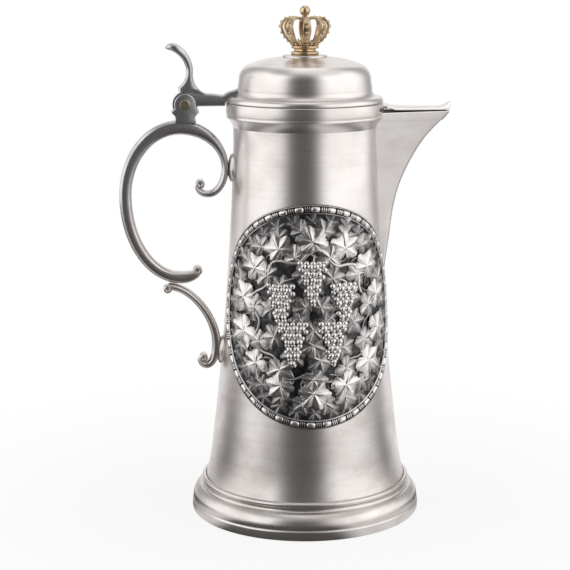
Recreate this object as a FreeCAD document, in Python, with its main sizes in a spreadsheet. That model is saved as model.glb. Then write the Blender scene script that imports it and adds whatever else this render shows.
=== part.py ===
import FreeCAD, Part

import math
import os

import Sketcher
from FreeCAD import Vector

# A lidded serving jug in millimetres. The origin is the centre of the foot on the resting plane,
# +Z is up, the spout points to +X, the handle to -X and the medallion faces -Y.

SIZES = [
    ("foot_radius", 9.0, "how much larger the radius of the foot band is than the wall's at the seam"),
    ("foot_band", 6.6, "height of the upright foot band"),
    ("foot_lip", 1.6, "height of the rounded lip over the band"),
    ("foot_lip_inset", 0.7, "how far the lip draws in"),
    ("foot_shoulder_radius", 3.2, "how much wider its radius is at the top edge than the wall's"),
    ("foot_shoulder", 17.8, "height of that edge"),
    ("foot_wall", 2.2, "thickness of the foot moulding"),
    ("foot_ledge", 6.0, "width of the ledge that carries wall and floor, inside the wall"),
    ("seam_height", 20.6, "height of the seam between foot and wall"),
    ("bead_wire", 2.0, "radius of the half-round wire over the seam"),
    ("wall", 1.6, "thickness of the jug wall"),
    ("base_radius", 73.0, "outer radius of the wall at the seam"),
    ("flare_radius", 5.3, "how much smaller the outer radius of the wall is above its flare"),
    ("flare_height", 44.0, "height where the flare ends"),
    ("flare_sag", 0.5, "hollow of the flare"),
    ("neck_radius", 50.3, "outer radius of the neck"),
    ("neck_height", 28.5, "height of the neck under the mouth"),
    ("wall_sag", 2.6, "hollow of the long taper"),
    ("rim_height", 293.5, "height of the mouth"),
    ("floor", 1.6, "thickness of the floor plate"),
    ("floor_dish", 2.5, "how far the floor is dished upwards"),
    ("rim_overhang", 4.9, "how far the rim band stands out from the neck"),
    ("rim_band", 8.1, "height of the rim band"),
    ("rim_groove", 0.6, "depth of the groove under the rim band"),
    ("neck_ease", 2.0, "plain neck under the rim moulding"),
    ("spout_reach", 100.7, "distance of the spout tip from the axis"),
    ("spout_drop", 6.7, "how far the spout edge lies under the mouth"),
    ("spout_foot", 175.0, "height of the lower end of the spout"),
    ("spout_half_width", 15.0, "half width of the spout where it leaves the wall"),
    ("spout_root", 0.9, "half width at its lower end"),
    ("spout_wall", 1.4, "thickness of the spout sheet"),
    ("spout_nose", 2.2, "radius of the folded edge at the tip"),
    ("strip", 1.0, "thickness of the strip round the spout edge"),
    ("strip_height", 6.1, "height of that strip"),
    ("mouth_notch", 24.5, "half width of the notch in the rim over the spout"),
    ("mouth_notch_depth", 4.9, "depth of that notch"),
    ("medallion_half_width", 75.0, "half width of the oval medallion, measured along the wall"),
    ("medallion_half_height", 77.0, "half height of the medallion"),
    ("medallion_height", 151.8, "height of its centre"),
    ("plate", 1.4, "thickness of the medallion plate"),
    ("seat_gap", 0.3, "solder gap under the medallion, its leaves and the foot bead"),
    ("border_width", 6.4, "width of its bead-and-reel border"),
    ("border_height", 3.2, "height of the border over the wall"),
    ("relief", 2.6, "height of the leaves over the plate"),
    ("lid_gap", 0.2, "gap between rim and lid"),
    ("flange_inset", 0.5, "how far the lid flange stands back from the rim band"),
    ("flange", 4.2, "height of the lid flange"),
    ("bezel_clearance", 1.0, "radial room of the locating ring in the mouth"),
    ("bezel_wall", 1.4, "thickness of the locating ring"),
    ("bezel_depth", 7.0, "how far it reaches into the mouth"),
    ("dome_wall", 1.4, "thickness of the lid dome"),
    ("dome_inset", 5.0, "how far the dome foot stands back from the flange edge"),
    ("dome_cove", 2.6, "depth of the cove at the dome foot"),
    ("dome_cove_height", 5.4, "height of that cove"),
    ("dome_side", 10.8, "height of the upright side of the dome"),
    ("dome_shoulder", 22.3, "height of the dome shoulder"),
    ("dome_shoulder_inset", 9.6, "how far the shoulder draws in"),
    ("dome_height", 26.7, "height of the dome over the flange"),
    ("seat_radius", 15.5, "radius of the finial seat"),
    ("seat", 1.8, "height of the finial seat"),
    ("circlet_radius", 8.7, "radius of the crown circlet"),
    ("circlet", 6.8, "height of the circlet"),
    ("circlet_wall", 2.2, "thickness of the circlet"),
    ("leaf", 2.5, "width of a crown leaf"),
    ("arch_radius", 15.5, "radius of the crown at the widest point of its arches"),
    ("arch_rise", 12.4, "height of that point over the circlet"),
    ("arch_top", 19.0, "height of the arches over the circlet"),
    ("arch_width", 3.4, "width of an arch"),
    ("arch_thick", 1.8, "thickness of an arch"),
    ("pearl", 1.15, "radius of a pearl"),
    ("collar_radius", 3.6, "radius of the collar where the arches meet"),
    ("collar", 3.0, "height of that collar"),
    ("orb_radius", 3.3, "radius of the orb"),
    ("orb_neck", 1.6, "length and radius of the neck under the orb"),
    ("stud_radius", 2.0, "radius of the finial screw"),
    ("stud_clearance", 0.2, "radial room of the screw in the dome and seat"),
    ("stud_head", 2.4, "height of the screw head"),
    ("stud_head_radius", 4.2, "radius of the screw head"),
    ("washer_radius", 6.5, "radius of the washer"),
    ("washer", 1.0, "thickness of the washer"),
    ("nut_across", 8.0, "width of the nut across its corners"),
    ("nut", 3.4, "height of the nut"),
    ("cover", 2.1, "thickness of the spout cover"),
    ("cover_gap", 0.4, "gap between spout edge and cover at the tip"),
    ("cover_arch", 0.7, "how much more the cover clears the spout half way"),
    ("cover_root", 2.2, "how much more it clears the spout at the rim"),
    ("cover_upturn", 4.2, "how far the cover turns up at the tip"),
    ("cover_overhang", 2.0, "how far its tip stands over the spout"),
    ("cover_clearance", 0.6, "side room of the cover in the rim notch"),
    ("hinge_reach", 28.5, "distance of the hinge pin from the rim band"),
    ("pin_drop", 1.0, "how far the pin lies under the mouth"),
    ("pin_radius", 2.1, "radius of the hinge pin"),
    ("pin_clearance", 0.05, "radial running clearance of the pin in the tongue"),
    ("pin_head_radius", 3.7, "radius of the riveted pin heads"),
    ("pin_head", 0.7, "height of the riveted heads"),
    ("ear_radius", 7.5, "radius of the bracket ears round the pin"),
    ("bracket_width", 13.0, "width of the hinge bracket"),
    ("bracket_seat", 11.1, "height of the pin over the handle"),
    ("bracket_foot", 7.6, "half width of the bracket foot"),
    ("spur", 2.3, "how far the bracket spurs stand out from the ears"),
    ("tongue_width", 5.6, "width of the lever tongue"),
    ("tongue_clearance", 0.25, "side room of the tongue in the bracket"),
    ("tongue_radius", 8.8, "radius of the tongue round the pin"),
    ("lever_clearance", 0.7, "room between lever and ears"),
    ("lever_width", 7.4, "width of the lever arm and stem"),
    ("thumb_width", 13.0, "width of the thumbpiece"),
    ("lever_rise", 42.6, "height of the thumbpiece over the pin"),
    ("lever_thick", 4.5, "thickness of the lever stem"),
    ("arm_height", 6.2, "height of the lever arm over the pin"),
    ("arm_drop", 1.4, "depth of the lever arm under the pin"),
    ("handle_width", 9.0, "width of the handle"),
    ("handle_chamfer", 1.7, "chamfer along the handle edges"),
    ("handle_reach", 130.5, "distance of the back of the handle from the axis"),
    ("handle_thick", 8.6, "thickness of the handle at its back"),
    ("handle_top_thick", 9.8, "thickness of the handle under the hinge"),
    ("handle_low_thick", 8.0, "thickness of the handle at its lowest point"),
    ("handle_setback", 4.3, "how far the top of the handle lies behind the pin"),
    ("grip_height", 57.8, "height of the back of the handle over its lowest point"),
    ("handle_low", 106.3, "depth of the lowest point of the large scroll under the top of the handle"),
    ("curl_thick", 4.8, "thickness of the handle at its curl"),
    ("curl_drop", 18.2, "depth of the upper curl under its pad"),
    ("curl_reach", 12.2, "how far the lowest point of the curl lies behind the pad"),
    ("bud_radius", 3.2, "radius of the buds that end the scrolls"),
    ("bud_proud", 0.4, "how far the buds stand out at the sides"),
    ("upper_pad_drop", 45.7, "depth of the upper pad under the mouth"),
    ("lower_pad_height", 47.8, "height of the lowest point of the large scroll over the lower pad"),
    ("pad", 3.0, "thickness of the handle pads"),
    ("pad_half_width", 6.5, "half width of the pads"),
    ("pad_half_height", 10.5, "half height of the pads"),
    ("lower_thick", 6.2, "thickness of the lower scroll"),
]

LEAVES = 9
LEAF_RING = 0.735
LEAF_SIZE = 0.235
BUNCHES = 5
BUNCH_RING = 0.27
BUNCH_WIDTH = 0.115
BUNCH_HEIGHT = 0.17
ARCHES = 8
ARCH_PEARLS = 7
QUARTER = 0.5523

document = FreeCAD.newDocument("lidded_jug")
sheet = document.addObject("Spreadsheet::Sheet", "Sizes")


class Size:
    """A length together with its spreadsheet formula, so that features stay bound to the cells."""

    def __init__(self, value, formula):
        self.value = float(value)
        self.formula = formula

    def __float__(self):
        return self.value

    def __add__(self, other):
        other = as_size(other)
        return Size(self.value + other.value, f"({self.formula} + {other.formula})")

    def __sub__(self, other):
        other = as_size(other)
        return Size(self.value - other.value, f"({self.formula} - {other.formula})")

    def __mul__(self, other):
        other = as_size(other)
        return Size(self.value * other.value, f"({self.formula} * {other.formula})")

    def __truediv__(self, other):
        other = as_size(other)
        return Size(self.value / other.value, f"({self.formula} / {other.formula})")

    def __radd__(self, other):
        return as_size(other) + self

    def __rsub__(self, other):
        return as_size(other) - self

    def __rmul__(self, other):
        return as_size(other) * self

    def __neg__(self):
        return as_size(0) - self


def as_size(number):
    if isinstance(number, Size):
        return number
    return Size(number, f"({float(number):.6f})")


class Sizes:
    """The driving sizes by name."""


for row, (name, value, note) in enumerate(SIZES, start=1):
    sheet.set(f"A{row}", name)
    sheet.set(f"B{row}", str(value))
    sheet.setAlias(f"B{row}", name)
    sheet.set(f"C{row}", note)
    setattr(Sizes, name, Size(value, f"Sizes.{name}"))
document.recompute()
s = Sizes


# Drawing helpers

def origin_plane(body, role):
    for feature in body.Origin.OriginFeatures:
        if feature.Role == role:
            return feature
    raise RuntimeError(f"{body.Label} has no {role}")


def bind(feature, name, size):
    feature.setExpression(name, as_size(size).formula)


class Outline:
    """The lines, arcs and circles of one sketch, with every point tied to its coordinates."""

    def __init__(self, sketch):
        self.sketch = sketch
        self.constraints = []
        self.formulas = []

    def tie(self, *constraint, formula=None):
        self.constraints.append(Sketcher.Constraint(*constraint))
        self.formulas.append(formula)

    def place(self, geometry, end, x, y):
        for kind, size, axis in (("DistanceX", as_size(x), -2), ("DistanceY", as_size(y), -1)):
            if abs(size.value) < 1e-9:
                self.tie("PointOnObject", geometry, end, axis)
            else:
                self.tie(kind, -1, 1, geometry, end, size.value, formula=size.formula)

    def finish(self):
        self.sketch.addConstraint(self.constraints)
        for index, formula in enumerate(self.formulas):
            if formula:
                self.sketch.setExpression(f"Constraints[{index}]", formula)


def arc_point(start, end, bend):
    """The middle of an arc: a point given outright, or a rise to the left as a share of the chord."""
    if isinstance(bend, tuple):
        return bend
    x = (start[0] + end[0]) / 2 - bend * (end[1] - start[1])
    y = (start[1] + end[1]) / 2 + bend * (end[0] - start[0])
    return x, y


def flat(point):
    return Vector(float(point[0]), float(point[1]), 0)


def draw_outline(sketch, corners):
    """A closed outline of lines and arcs. A corner is (x, y), or (x, y, bend) where an arc leaves it."""
    corners = [tuple(as_size(c) for c in corner[:2]) + tuple(corner[2:]) for corner in corners]
    outline = Outline(sketch)
    ends = []
    for corner, following in zip(corners, corners[1:] + corners[:1]):
        if len(corner) == 2:
            geometry = sketch.addGeometry(Part.LineSegment(flat(corner), flat(following)), False)
            ends.append((geometry, 1, 2))
            continue
        middle = arc_point(corner, following, corner[2])
        geometry = sketch.addGeometry(Part.Arc(flat(corner), flat(middle), flat(following)), False)
        forward = (sketch.getPoint(geometry, 1) - flat(corner)).Length < 1e-6
        ends.append((geometry, 1, 2) if forward else (geometry, 2, 1))
        guide = sketch.addGeometry(Part.Point(flat(middle)), True)
        outline.tie("PointOnObject", guide, 1, geometry)
        outline.place(guide, 1, *middle)
    for index, corner in enumerate(corners):
        geometry, start, _ = ends[index]
        before, _, finish = ends[index - 1]
        outline.tie("Coincident", before, finish, geometry, start)
        outline.place(geometry, start, corner[0], corner[1])
    outline.finish()


def new_sketch(body, name, role):
    sketch = body.newObject("Sketcher::SketchObject", name)
    sketch.AttachmentSupport = [(origin_plane(body, role), "")]
    sketch.MapMode = "FlatFace"
    return sketch


def turned(label, corners):
    """A body turned about the jug axis from an outline of (radius, height) corners."""
    body = document.addObject("PartDesign::Body", label)
    body.Label = label
    sketch = new_sketch(body, f"{label}_outline", "XZ_Plane")
    draw_outline(sketch, corners)
    turn = body.newObject("PartDesign::Revolution", f"{label}_turn")
    turn.Profile = sketch
    turn.ReferenceAxis = (sketch, ["V_Axis"])
    turn.Angle = 360
    return body


def padded(label, corners, width, role="XZ_Plane"):
    """A body padded to both sides of an origin plane."""
    body = document.addObject("PartDesign::Body", label)
    body.Label = label
    sketch = new_sketch(body, f"{label}_outline", role)
    draw_outline(sketch, corners)
    pad = body.newObject("PartDesign::Pad", f"{label}_pad")
    pad.Profile = sketch
    pad.SideType = "Symmetric"
    bind(pad, "Length", width)
    return body


def pocket_slot(body, name, corners, width):
    sketch = new_sketch(body, f"{name}_outline", "XZ_Plane")
    draw_outline(sketch, corners)
    pocket = body.newObject("PartDesign::Pocket", name)
    pocket.Profile = sketch
    pocket.SideType = "Symmetric"
    bind(pocket, "Length", width)


def pocket_bore(body, name, x, z, radius, width):
    sketch = new_sketch(body, f"{name}_outline", "XZ_Plane")
    circle = Part.Circle(flat((x, z)), Vector(0, 0, 1), float(radius))
    geometry = sketch.addGeometry(circle, False)
    outline = Outline(sketch)
    outline.place(geometry, 3, x, z)
    outline.tie("Radius", geometry, float(radius), formula=as_size(radius).formula)
    outline.finish()
    pocket = body.newObject("PartDesign::Pocket", name)
    pocket.Profile = sketch
    pocket.SideType = "Symmetric"
    bind(pocket, "Length", width)


def combined(kind, label, base, tool):
    feature = document.addObject(kind, label)
    feature.Label = label
    feature.Base = base
    feature.Tool = tool
    return feature


def cut(label, base, tool):
    return combined("Part::Cut", label, base, tool)


def common(label, base, tool):
    return combined("Part::Common", label, base, tool)


def fused(label, *pieces):
    feature = document.addObject("Part::MultiFuse", label)
    feature.Label = label
    feature.Shapes = list(pieces)
    return feature


def shaped(label, shape):
    feature = document.addObject("Part::Feature", label)
    feature.Label = label
    feature.Shape = shape
    feature.Placement = FreeCAD.Placement()
    return feature


def extruded(label, face, width):
    """A face in the XZ plane, extruded to both sides."""
    feature = document.addObject("Part::Extrusion", label)
    feature.Label = label
    feature.Base = face
    feature.DirMode = "Custom"
    feature.Dir = Vector(0, 1, 0)
    feature.Symmetric = True
    feature.Solid = True
    bind(feature, "LengthFwd", width)
    return feature


def upright(x, z):
    return Vector(float(x), 0, float(z))


# Shared places

foot_edge = s.base_radius + s.foot_radius
foot_shoulder_edge = s.base_radius + s.foot_shoulder_radius
flare_edge = s.base_radius - s.flare_radius
neck_foot = s.rim_height - s.neck_height
rim_radius = s.neck_radius + s.rim_overhang
mouth_radius = s.neck_radius - s.wall
lid_height = s.rim_height + s.lid_gap
flange_radius = rim_radius - s.flange_inset
flange_top = lid_height + s.flange
dome_radius = flange_radius - s.dome_inset
dome_top = flange_top + s.dome_height
seat_top = dome_top + s.seat
circlet_top = seat_top + s.circlet
bezel_radius = mouth_radius - s.bezel_clearance
pin_x = -(rim_radius + s.hinge_reach)
pin_z = s.rim_height - s.pin_drop
spout_top = s.rim_height - s.spout_drop
stud_hole = s.stud_radius + s.stud_clearance


def wall_radius(height):
    """Outer radius of the long taper at a height."""
    height = as_size(height)
    if height.value >= neck_foot.value:
        return s.neck_radius
    share = (height - s.flare_height) / (neck_foot - s.flare_height)
    straight = flare_edge + (s.neck_radius - flare_edge) * share
    return straight - s.wall_sag * 4 * share * (1 - share)


def wall_line(inset):
    """Corners of the wall from its seam up to the mouth, set in from the outside."""
    flare_middle = ((s.base_radius + flare_edge) / 2 - s.flare_sag - inset,
                    (s.seam_height + s.flare_height) / 2)
    taper_middle = ((flare_edge + s.neck_radius) / 2 - s.wall_sag - inset,
                    (s.flare_height + neck_foot) / 2)
    return [
        (s.base_radius - inset, s.seam_height, flare_middle),
        (flare_edge - inset, s.flare_height, taper_middle),
        (s.neck_radius - inset, neck_foot),
        (s.neck_radius - inset, s.rim_height),
    ]


def reversed_line(corners):
    """The same line walked the other way, with each arc kept on its own edge."""
    walked = []
    for index in range(len(corners) - 1, -1, -1):
        bend = corners[index - 1][2:] if index else ()
        if bend and not isinstance(bend[0], tuple):
            bend = (-bend[0],)
        walked.append(corners[index][:2] + bend)
    return walked


# Foot, wall and floor

def make_foot():
    band_top = s.foot_band
    lip_top = s.foot_band + s.foot_lip
    lip_radius = foot_edge - s.foot_lip_inset
    ledge_radius = s.base_radius - s.wall - s.foot_ledge
    seat_radius = s.base_radius + s.bead_wire + 0.4
    inner_shoulder = foot_shoulder_edge - s.foot_wall
    foot_ring = turned("foot_ring", [
        (foot_edge - s.foot_wall, 0),
        (foot_edge, 0),
        (foot_edge, band_top, -0.2),
        (lip_radius, lip_top, -0.12),
        (foot_shoulder_edge, s.foot_shoulder),
        (foot_shoulder_edge, s.foot_shoulder + 0.8, 0.12),
        (seat_radius, s.seam_height),
        (ledge_radius, s.seam_height),
        (ledge_radius, s.seam_height - s.foot_wall),
        (inner_shoulder, s.seam_height - s.foot_wall),
        (inner_shoulder, s.foot_shoulder - s.foot_wall * 0.5, 0.1),
        (lip_radius - s.foot_wall, lip_top - s.foot_wall * 0.5),
        (foot_edge - s.foot_wall, band_top - s.foot_wall * 0.5),
    ])
    body_solid = turned("body_solid", [(0, s.seam_height)] + wall_line(0) + [(0, s.rim_height)])
    bead_blank = turned("bead_blank", [
        (s.base_radius - s.wall, s.seam_height),
        (s.base_radius, s.seam_height, -0.5),
        (s.base_radius, s.seam_height + s.bead_wire * 2),
        (s.base_radius - s.wall, s.seam_height + s.bead_wire * 2),
    ])
    bead_room = turned("bead_room", [(0, s.seam_height)] + wall_line(-s.seat_gap) + [(0, s.rim_height)])
    foot_bead = cut("foot_bead", bead_blank, bead_room)
    floor_radius = s.base_radius - s.wall - 0.6
    base_plate = turned("base_plate", [
        (0, s.seam_height + s.floor_dish),
        (floor_radius * 0.75, s.seam_height + s.floor_dish),
        (floor_radius - 3, s.seam_height),
        (floor_radius, s.seam_height),
        (floor_radius, s.seam_height + s.floor),
        (floor_radius - 3, s.seam_height + s.floor),
        (floor_radius * 0.75, s.seam_height + s.floor_dish + s.floor),
        (0, s.seam_height + s.floor_dish + s.floor),
    ])
    return foot_ring, foot_bead, base_plate, body_solid


# Spout

SPOUT_KEEL = [(0.0, 0.02), (0.22, 0.117), (0.37, 0.179), (0.52, 0.274), (0.67, 0.43),
              (0.82, 0.641), (0.90, 0.795), (0.96, 0.93), (1.0, 1.0)]
WIDENING = 1.6
SIDE_CARRY = 1.06
NOSE_OPENING = math.radians(75)


def spout_section(share, reach, grow):
    """Outline of the spout at a share of its height, grown outwards by a thickness."""
    height = float(s.spout_foot) + (float(spout_top) - float(s.spout_foot)) * share
    radius = float(wall_radius(height))
    half = float(s.spout_root) + (float(s.spout_half_width) - float(s.spout_root)) * share ** WIDENING + grow
    nose = max(0.35 * float(s.spout_nose) + 0.65 * float(s.spout_nose) * share + grow, 0.15 * half)
    tip = radius + (float(s.spout_reach) - float(s.neck_radius)) * reach + 1.15 * grow
    back = float(mouth_radius) * 0.8
    root = math.sqrt(radius ** 2 - half ** 2)
    side_x = tip - nose + nose * math.cos(NOSE_OPENING)
    side_y = nose * math.sin(NOSE_OPENING)
    root_x = side_x + (root - side_x) * SIDE_CARRY
    root_y = side_y + (half - side_y) * SIDE_CARRY
    corners = [Vector(x, y, height) for x, y in (
        (side_x, side_y), (root_x, root_y), (back, root_y),
        (back, -root_y), (root_x, -root_y), (side_x, -side_y))]
    edges = [Part.makeLine(a, b) for a, b in zip(corners, corners[1:])]
    edges.append(Part.Arc(corners[-1], Vector(tip, 0, height), corners[0]).toShape())
    return Part.Wire(edges)


def spout_loft(label, stations, grow):
    """A solid through the spout outlines."""
    loft = document.addObject("Part::Loft", label)
    loft.Sections = [shaped(f"{label}_section_{index}", spout_section(share, reach, grow))
                     for index, (share, reach) in enumerate(stations)]
    loft.Solid = True
    loft.Ruled = False
    return loft


def raised(label, loft):
    """A loft of the spout, carried straight up from the spout edge past the rim."""
    face = shaped(f"{label}_top", Part.Face(loft.Sections[-1].Shape))
    column = document.addObject("Part::Extrusion", f"{label}_column")
    column.Base = face
    column.DirMode = "Custom"
    column.Dir = Vector(0, 0, 1)
    column.Solid = True
    bind(column, "LengthFwd", s.spout_drop + 4)
    return column


def make_spout(body_solid):
    outside = spout_loft("spout_outside", SPOUT_KEEL, 0.0)
    channel = spout_loft("spout_channel", SPOUT_KEEL[2:], -float(s.spout_wall))
    over_outside = raised("outside_raised", outside)
    over_channel = raised("channel_raised", channel)
    rim_blank = make_rim()
    notch = document.addObject("Part::Box", "mouth_notch_block")
    bind(notch, "Length", rim_radius)
    bind(notch, "Width", s.mouth_notch * 2)
    bind(notch, "Height", s.mouth_notch_depth * 2)
    bind(notch, "Placement.Base.x", mouth_radius / 2)
    bind(notch, "Placement.Base.y", -s.mouth_notch)
    bind(notch, "Placement.Base.z", s.rim_height - s.mouth_notch_depth)
    rim_open = cut("rim_open", cut("rim_under_spout", rim_blank, outside), over_outside)
    rim_band = cut("rim_band", rim_open, notch)
    wall_blank = turned("wall_blank", wall_line(0) + reversed_line(wall_line(s.wall)))
    wall_open = cut("wall_open", cut("wall_behind_spout", wall_blank, channel), over_channel)
    body_wall = cut("body_wall", wall_open, notch)
    spout = cut("spout", cut("spout_sheet", outside, channel), body_solid)
    strip_share = 1 - float(s.strip_height) / (float(spout_top) - float(s.spout_foot))
    strip_stations = [(share, keel_reach(share)) for share in (strip_share, (1 + strip_share) / 2, 1.0)]
    strip_outside = spout_loft("strip_outside", strip_stations, float(s.strip))
    strip_open = cut("strip_open", strip_outside, outside)
    spout_rim = cut("spout_rim", cut("strip_off_rim", strip_open, rim_blank), body_solid)
    return body_wall, rim_band, spout, spout_rim


def keel_reach(share):
    """Reach of the keel at a share of the spout height, between the stations."""
    for (low, low_reach), (high, high_reach) in zip(SPOUT_KEEL, SPOUT_KEEL[1:]):
        if share <= high:
            return low_reach + (high_reach - low_reach) * (share - low) / (high - low)
    return 1.0


def make_rim():
    band_foot = s.rim_height - s.rim_band
    fillet = rim_radius - s.rim_groove / 2
    return turned("rim_blank", [
        (s.neck_radius, neck_foot + s.neck_ease, 0.14),
        (fillet - 0.5, band_foot - 2.6),
        (fillet, band_foot - 2.0, -0.3),
        (fillet, band_foot - 0.6),
        (rim_radius - s.rim_groove, band_foot - 0.3),
        (rim_radius, band_foot + 0.3),
        (rim_radius, s.rim_height - 0.9, -0.2),
        (rim_radius - 0.9, s.rim_height),
        (s.neck_radius, s.rim_height),
    ])


# Medallion, wrapped round the wall

def medallion_point(surface, across, up):
    """Surface parameters of a point of the medallion, measured along the wall from its centre."""
    height = float(s.medallion_height) + up
    radius = float(wall_radius(height))
    angle = -math.pi / 2 + across / radius
    point = Vector(radius * math.cos(angle), radius * math.sin(angle), height)
    u, v = surface.parameter(point)
    return FreeCAD.Base.Vector2d(u, v)


def wrapped_edge(surface, points, closed=False):
    """A smooth line on the wall through (across, up) points."""
    line = Part.Geom2d.BSplineCurve2d()
    line.interpolate(Points=[medallion_point(surface, *point) for point in points], PeriodicFlag=closed)
    return line.toShape(surface)


def wrapped_plate(surface, edges, thickness):
    """A plate of even thickness on the wall inside a closed line."""
    face = Part.Face(surface, Part.Wire(edges))
    face.validate()
    return face.makeOffsetShape(thickness, 0.001, fill=True)


def oval_points(inset, start=0, turn=360, count=32):
    """Points of the medallion's oval, set in from its edge."""
    half_width = float(s.medallion_half_width) - inset
    half_height = float(s.medallion_half_height) - inset
    angles = [math.radians(start + turn * step / count) for step in range(count + 1)]
    return [(half_width * math.cos(angle), half_height * math.sin(angle)) for angle in angles]


def make_medallion(body_solid):
    surface = offset_surface(taper_surface(body_solid), float(s.seat_gap))
    inset = float(s.border_width)
    field_inset = inset + float(s.seat_gap)
    field = [wrapped_edge(surface, oval_points(field_inset, start, 180, 24)) for start in (0, 180)]
    plate = wrapped_plate(surface, field, float(s.plate))
    halves = []
    for start in (0, 180):
        out_line = oval_points(0, start, 180, 24)
        in_line = oval_points(inset, start, 180, 24)
        edges = [wrapped_edge(surface, out_line), wrapped_edge(surface, [out_line[-1], in_line[-1]]),
                 wrapped_edge(surface, in_line), wrapped_edge(surface, [in_line[0], out_line[0]])]
        halves.append(wrapped_plate(surface, edges, float(s.border_height)))
    raised_surface = offset_surface(surface, float(s.plate) + float(s.seat_gap))
    outlines = [leaf_points(index) for index in range(LEAVES)]
    outlines += [bunch_points(index) for index in range(BUNCHES)]
    vine = [wrapped_plate(raised_surface, [wrapped_edge(raised_surface, outline, True)], float(s.relief))
            for outline in outlines]
    return (shaped("medallion_plate", plate), shaped("medallion_border", Part.makeCompound(halves)),
            shaped("medallion_relief", Part.makeCompound(vine)))


def offset_surface(surface, distance):
    """The hollow taper, moved outwards."""
    moved = surface.copy()
    moved.MinorRadius = surface.MinorRadius - distance
    return moved


def in_field(across, up):
    """A point given in shares of the medallion's inner half width and half height."""
    inset = float(s.border_width)
    return across * (float(s.medallion_half_width) - inset), up * (float(s.medallion_half_height) - inset)


def leaf_points(index):
    """A five-lobed vine leaf in the outer ring of the field."""
    around = 2 * math.pi * index / LEAVES + math.pi / 2
    points = []
    for step in range(40):
        angle = 2 * math.pi * step / 40
        reach = LEAF_SIZE * (0.86 + 0.11 * math.cos(5 * angle))
        points.append(in_field(LEAF_RING * math.cos(around) + reach * math.cos(angle + around),
                               LEAF_RING * math.sin(around) + reach * math.sin(angle + around)))
    return points


def bunch_points(index):
    """A hanging bunch of grapes in the inner ring of the field."""
    around = 2 * math.pi * index / BUNCHES + math.pi / 2
    points = []
    for step in range(24):
        angle = 2 * math.pi * step / 24
        width = BUNCH_WIDTH * (1 + 0.28 * math.sin(angle))
        points.append(in_field(BUNCH_RING * math.cos(around) + width * math.cos(angle),
                               BUNCH_RING * math.sin(around) + BUNCH_HEIGHT * math.sin(angle)))
    return points


def taper_surface(body_solid):
    document.recompute()
    faces = [face for face in body_solid.Shape.Faces if face.Surface.TypeId == "Part::GeomToroid"]
    return max(faces, key=lambda face: face.Area).Surface


# Lid

def make_lid():
    lid_flange = turned("lid_flange", [
        (bezel_radius, lid_height),
        (flange_radius - 0.3, lid_height),
        (flange_radius, lid_height + 0.8, -0.22),
        (dome_radius + 0.9, flange_top - 0.2),
        (dome_radius, flange_top),
        (bezel_radius, flange_top),
    ])
    bezel_ring = turned("bezel_ring", [
        (bezel_radius - s.bezel_wall, lid_height - s.bezel_depth),
        (bezel_radius - 0.4, lid_height - s.bezel_depth),
        (bezel_radius, lid_height - s.bezel_depth + 1),
        (bezel_radius, flange_top),
        (bezel_radius - s.bezel_wall, flange_top),
    ])
    notch = document.addObject("Part::Box", "bezel_notch")
    bind(notch, "Length", mouth_radius)
    bind(notch, "Width", s.mouth_notch * 2)
    bind(notch, "Height", s.bezel_depth + 1)
    bind(notch, "Placement.Base.y", -s.mouth_notch)
    bind(notch, "Placement.Base.z", lid_height - s.bezel_depth - 1)
    lid_bezel = cut("lid_bezel", bezel_ring, notch)
    lid_dome = turned("lid_dome", dome_line(0) + reversed_line(dome_line(s.dome_wall)))
    outside = [(0, lid_height), (flange_radius, lid_height), (flange_radius, lid_height + 0.8, -0.22),
               (dome_radius + 0.9, flange_top - 0.2)]
    lid_solid = turned("lid_solid", outside + dome_line(0)[:-1] + [(0, dome_top)])
    return lid_flange, lid_bezel, lid_dome, lid_solid


def dome_line(inset):
    """Corners of the dome from its foot up to the screw hole, set in from the outside."""
    side = dome_radius - s.dome_cove - inset
    shoulder = side - s.dome_shoulder_inset
    return [
        (dome_radius - inset, flange_top, 0.16),
        (side, flange_top + s.dome_cove_height),
        (side - 0.9, flange_top + s.dome_side, -0.18),
        (shoulder, flange_top + s.dome_shoulder - inset, -0.045),
        (s.seat_radius + 0.6, dome_top - inset),
        (stud_hole, dome_top - inset),
    ]


# Crown finial

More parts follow.
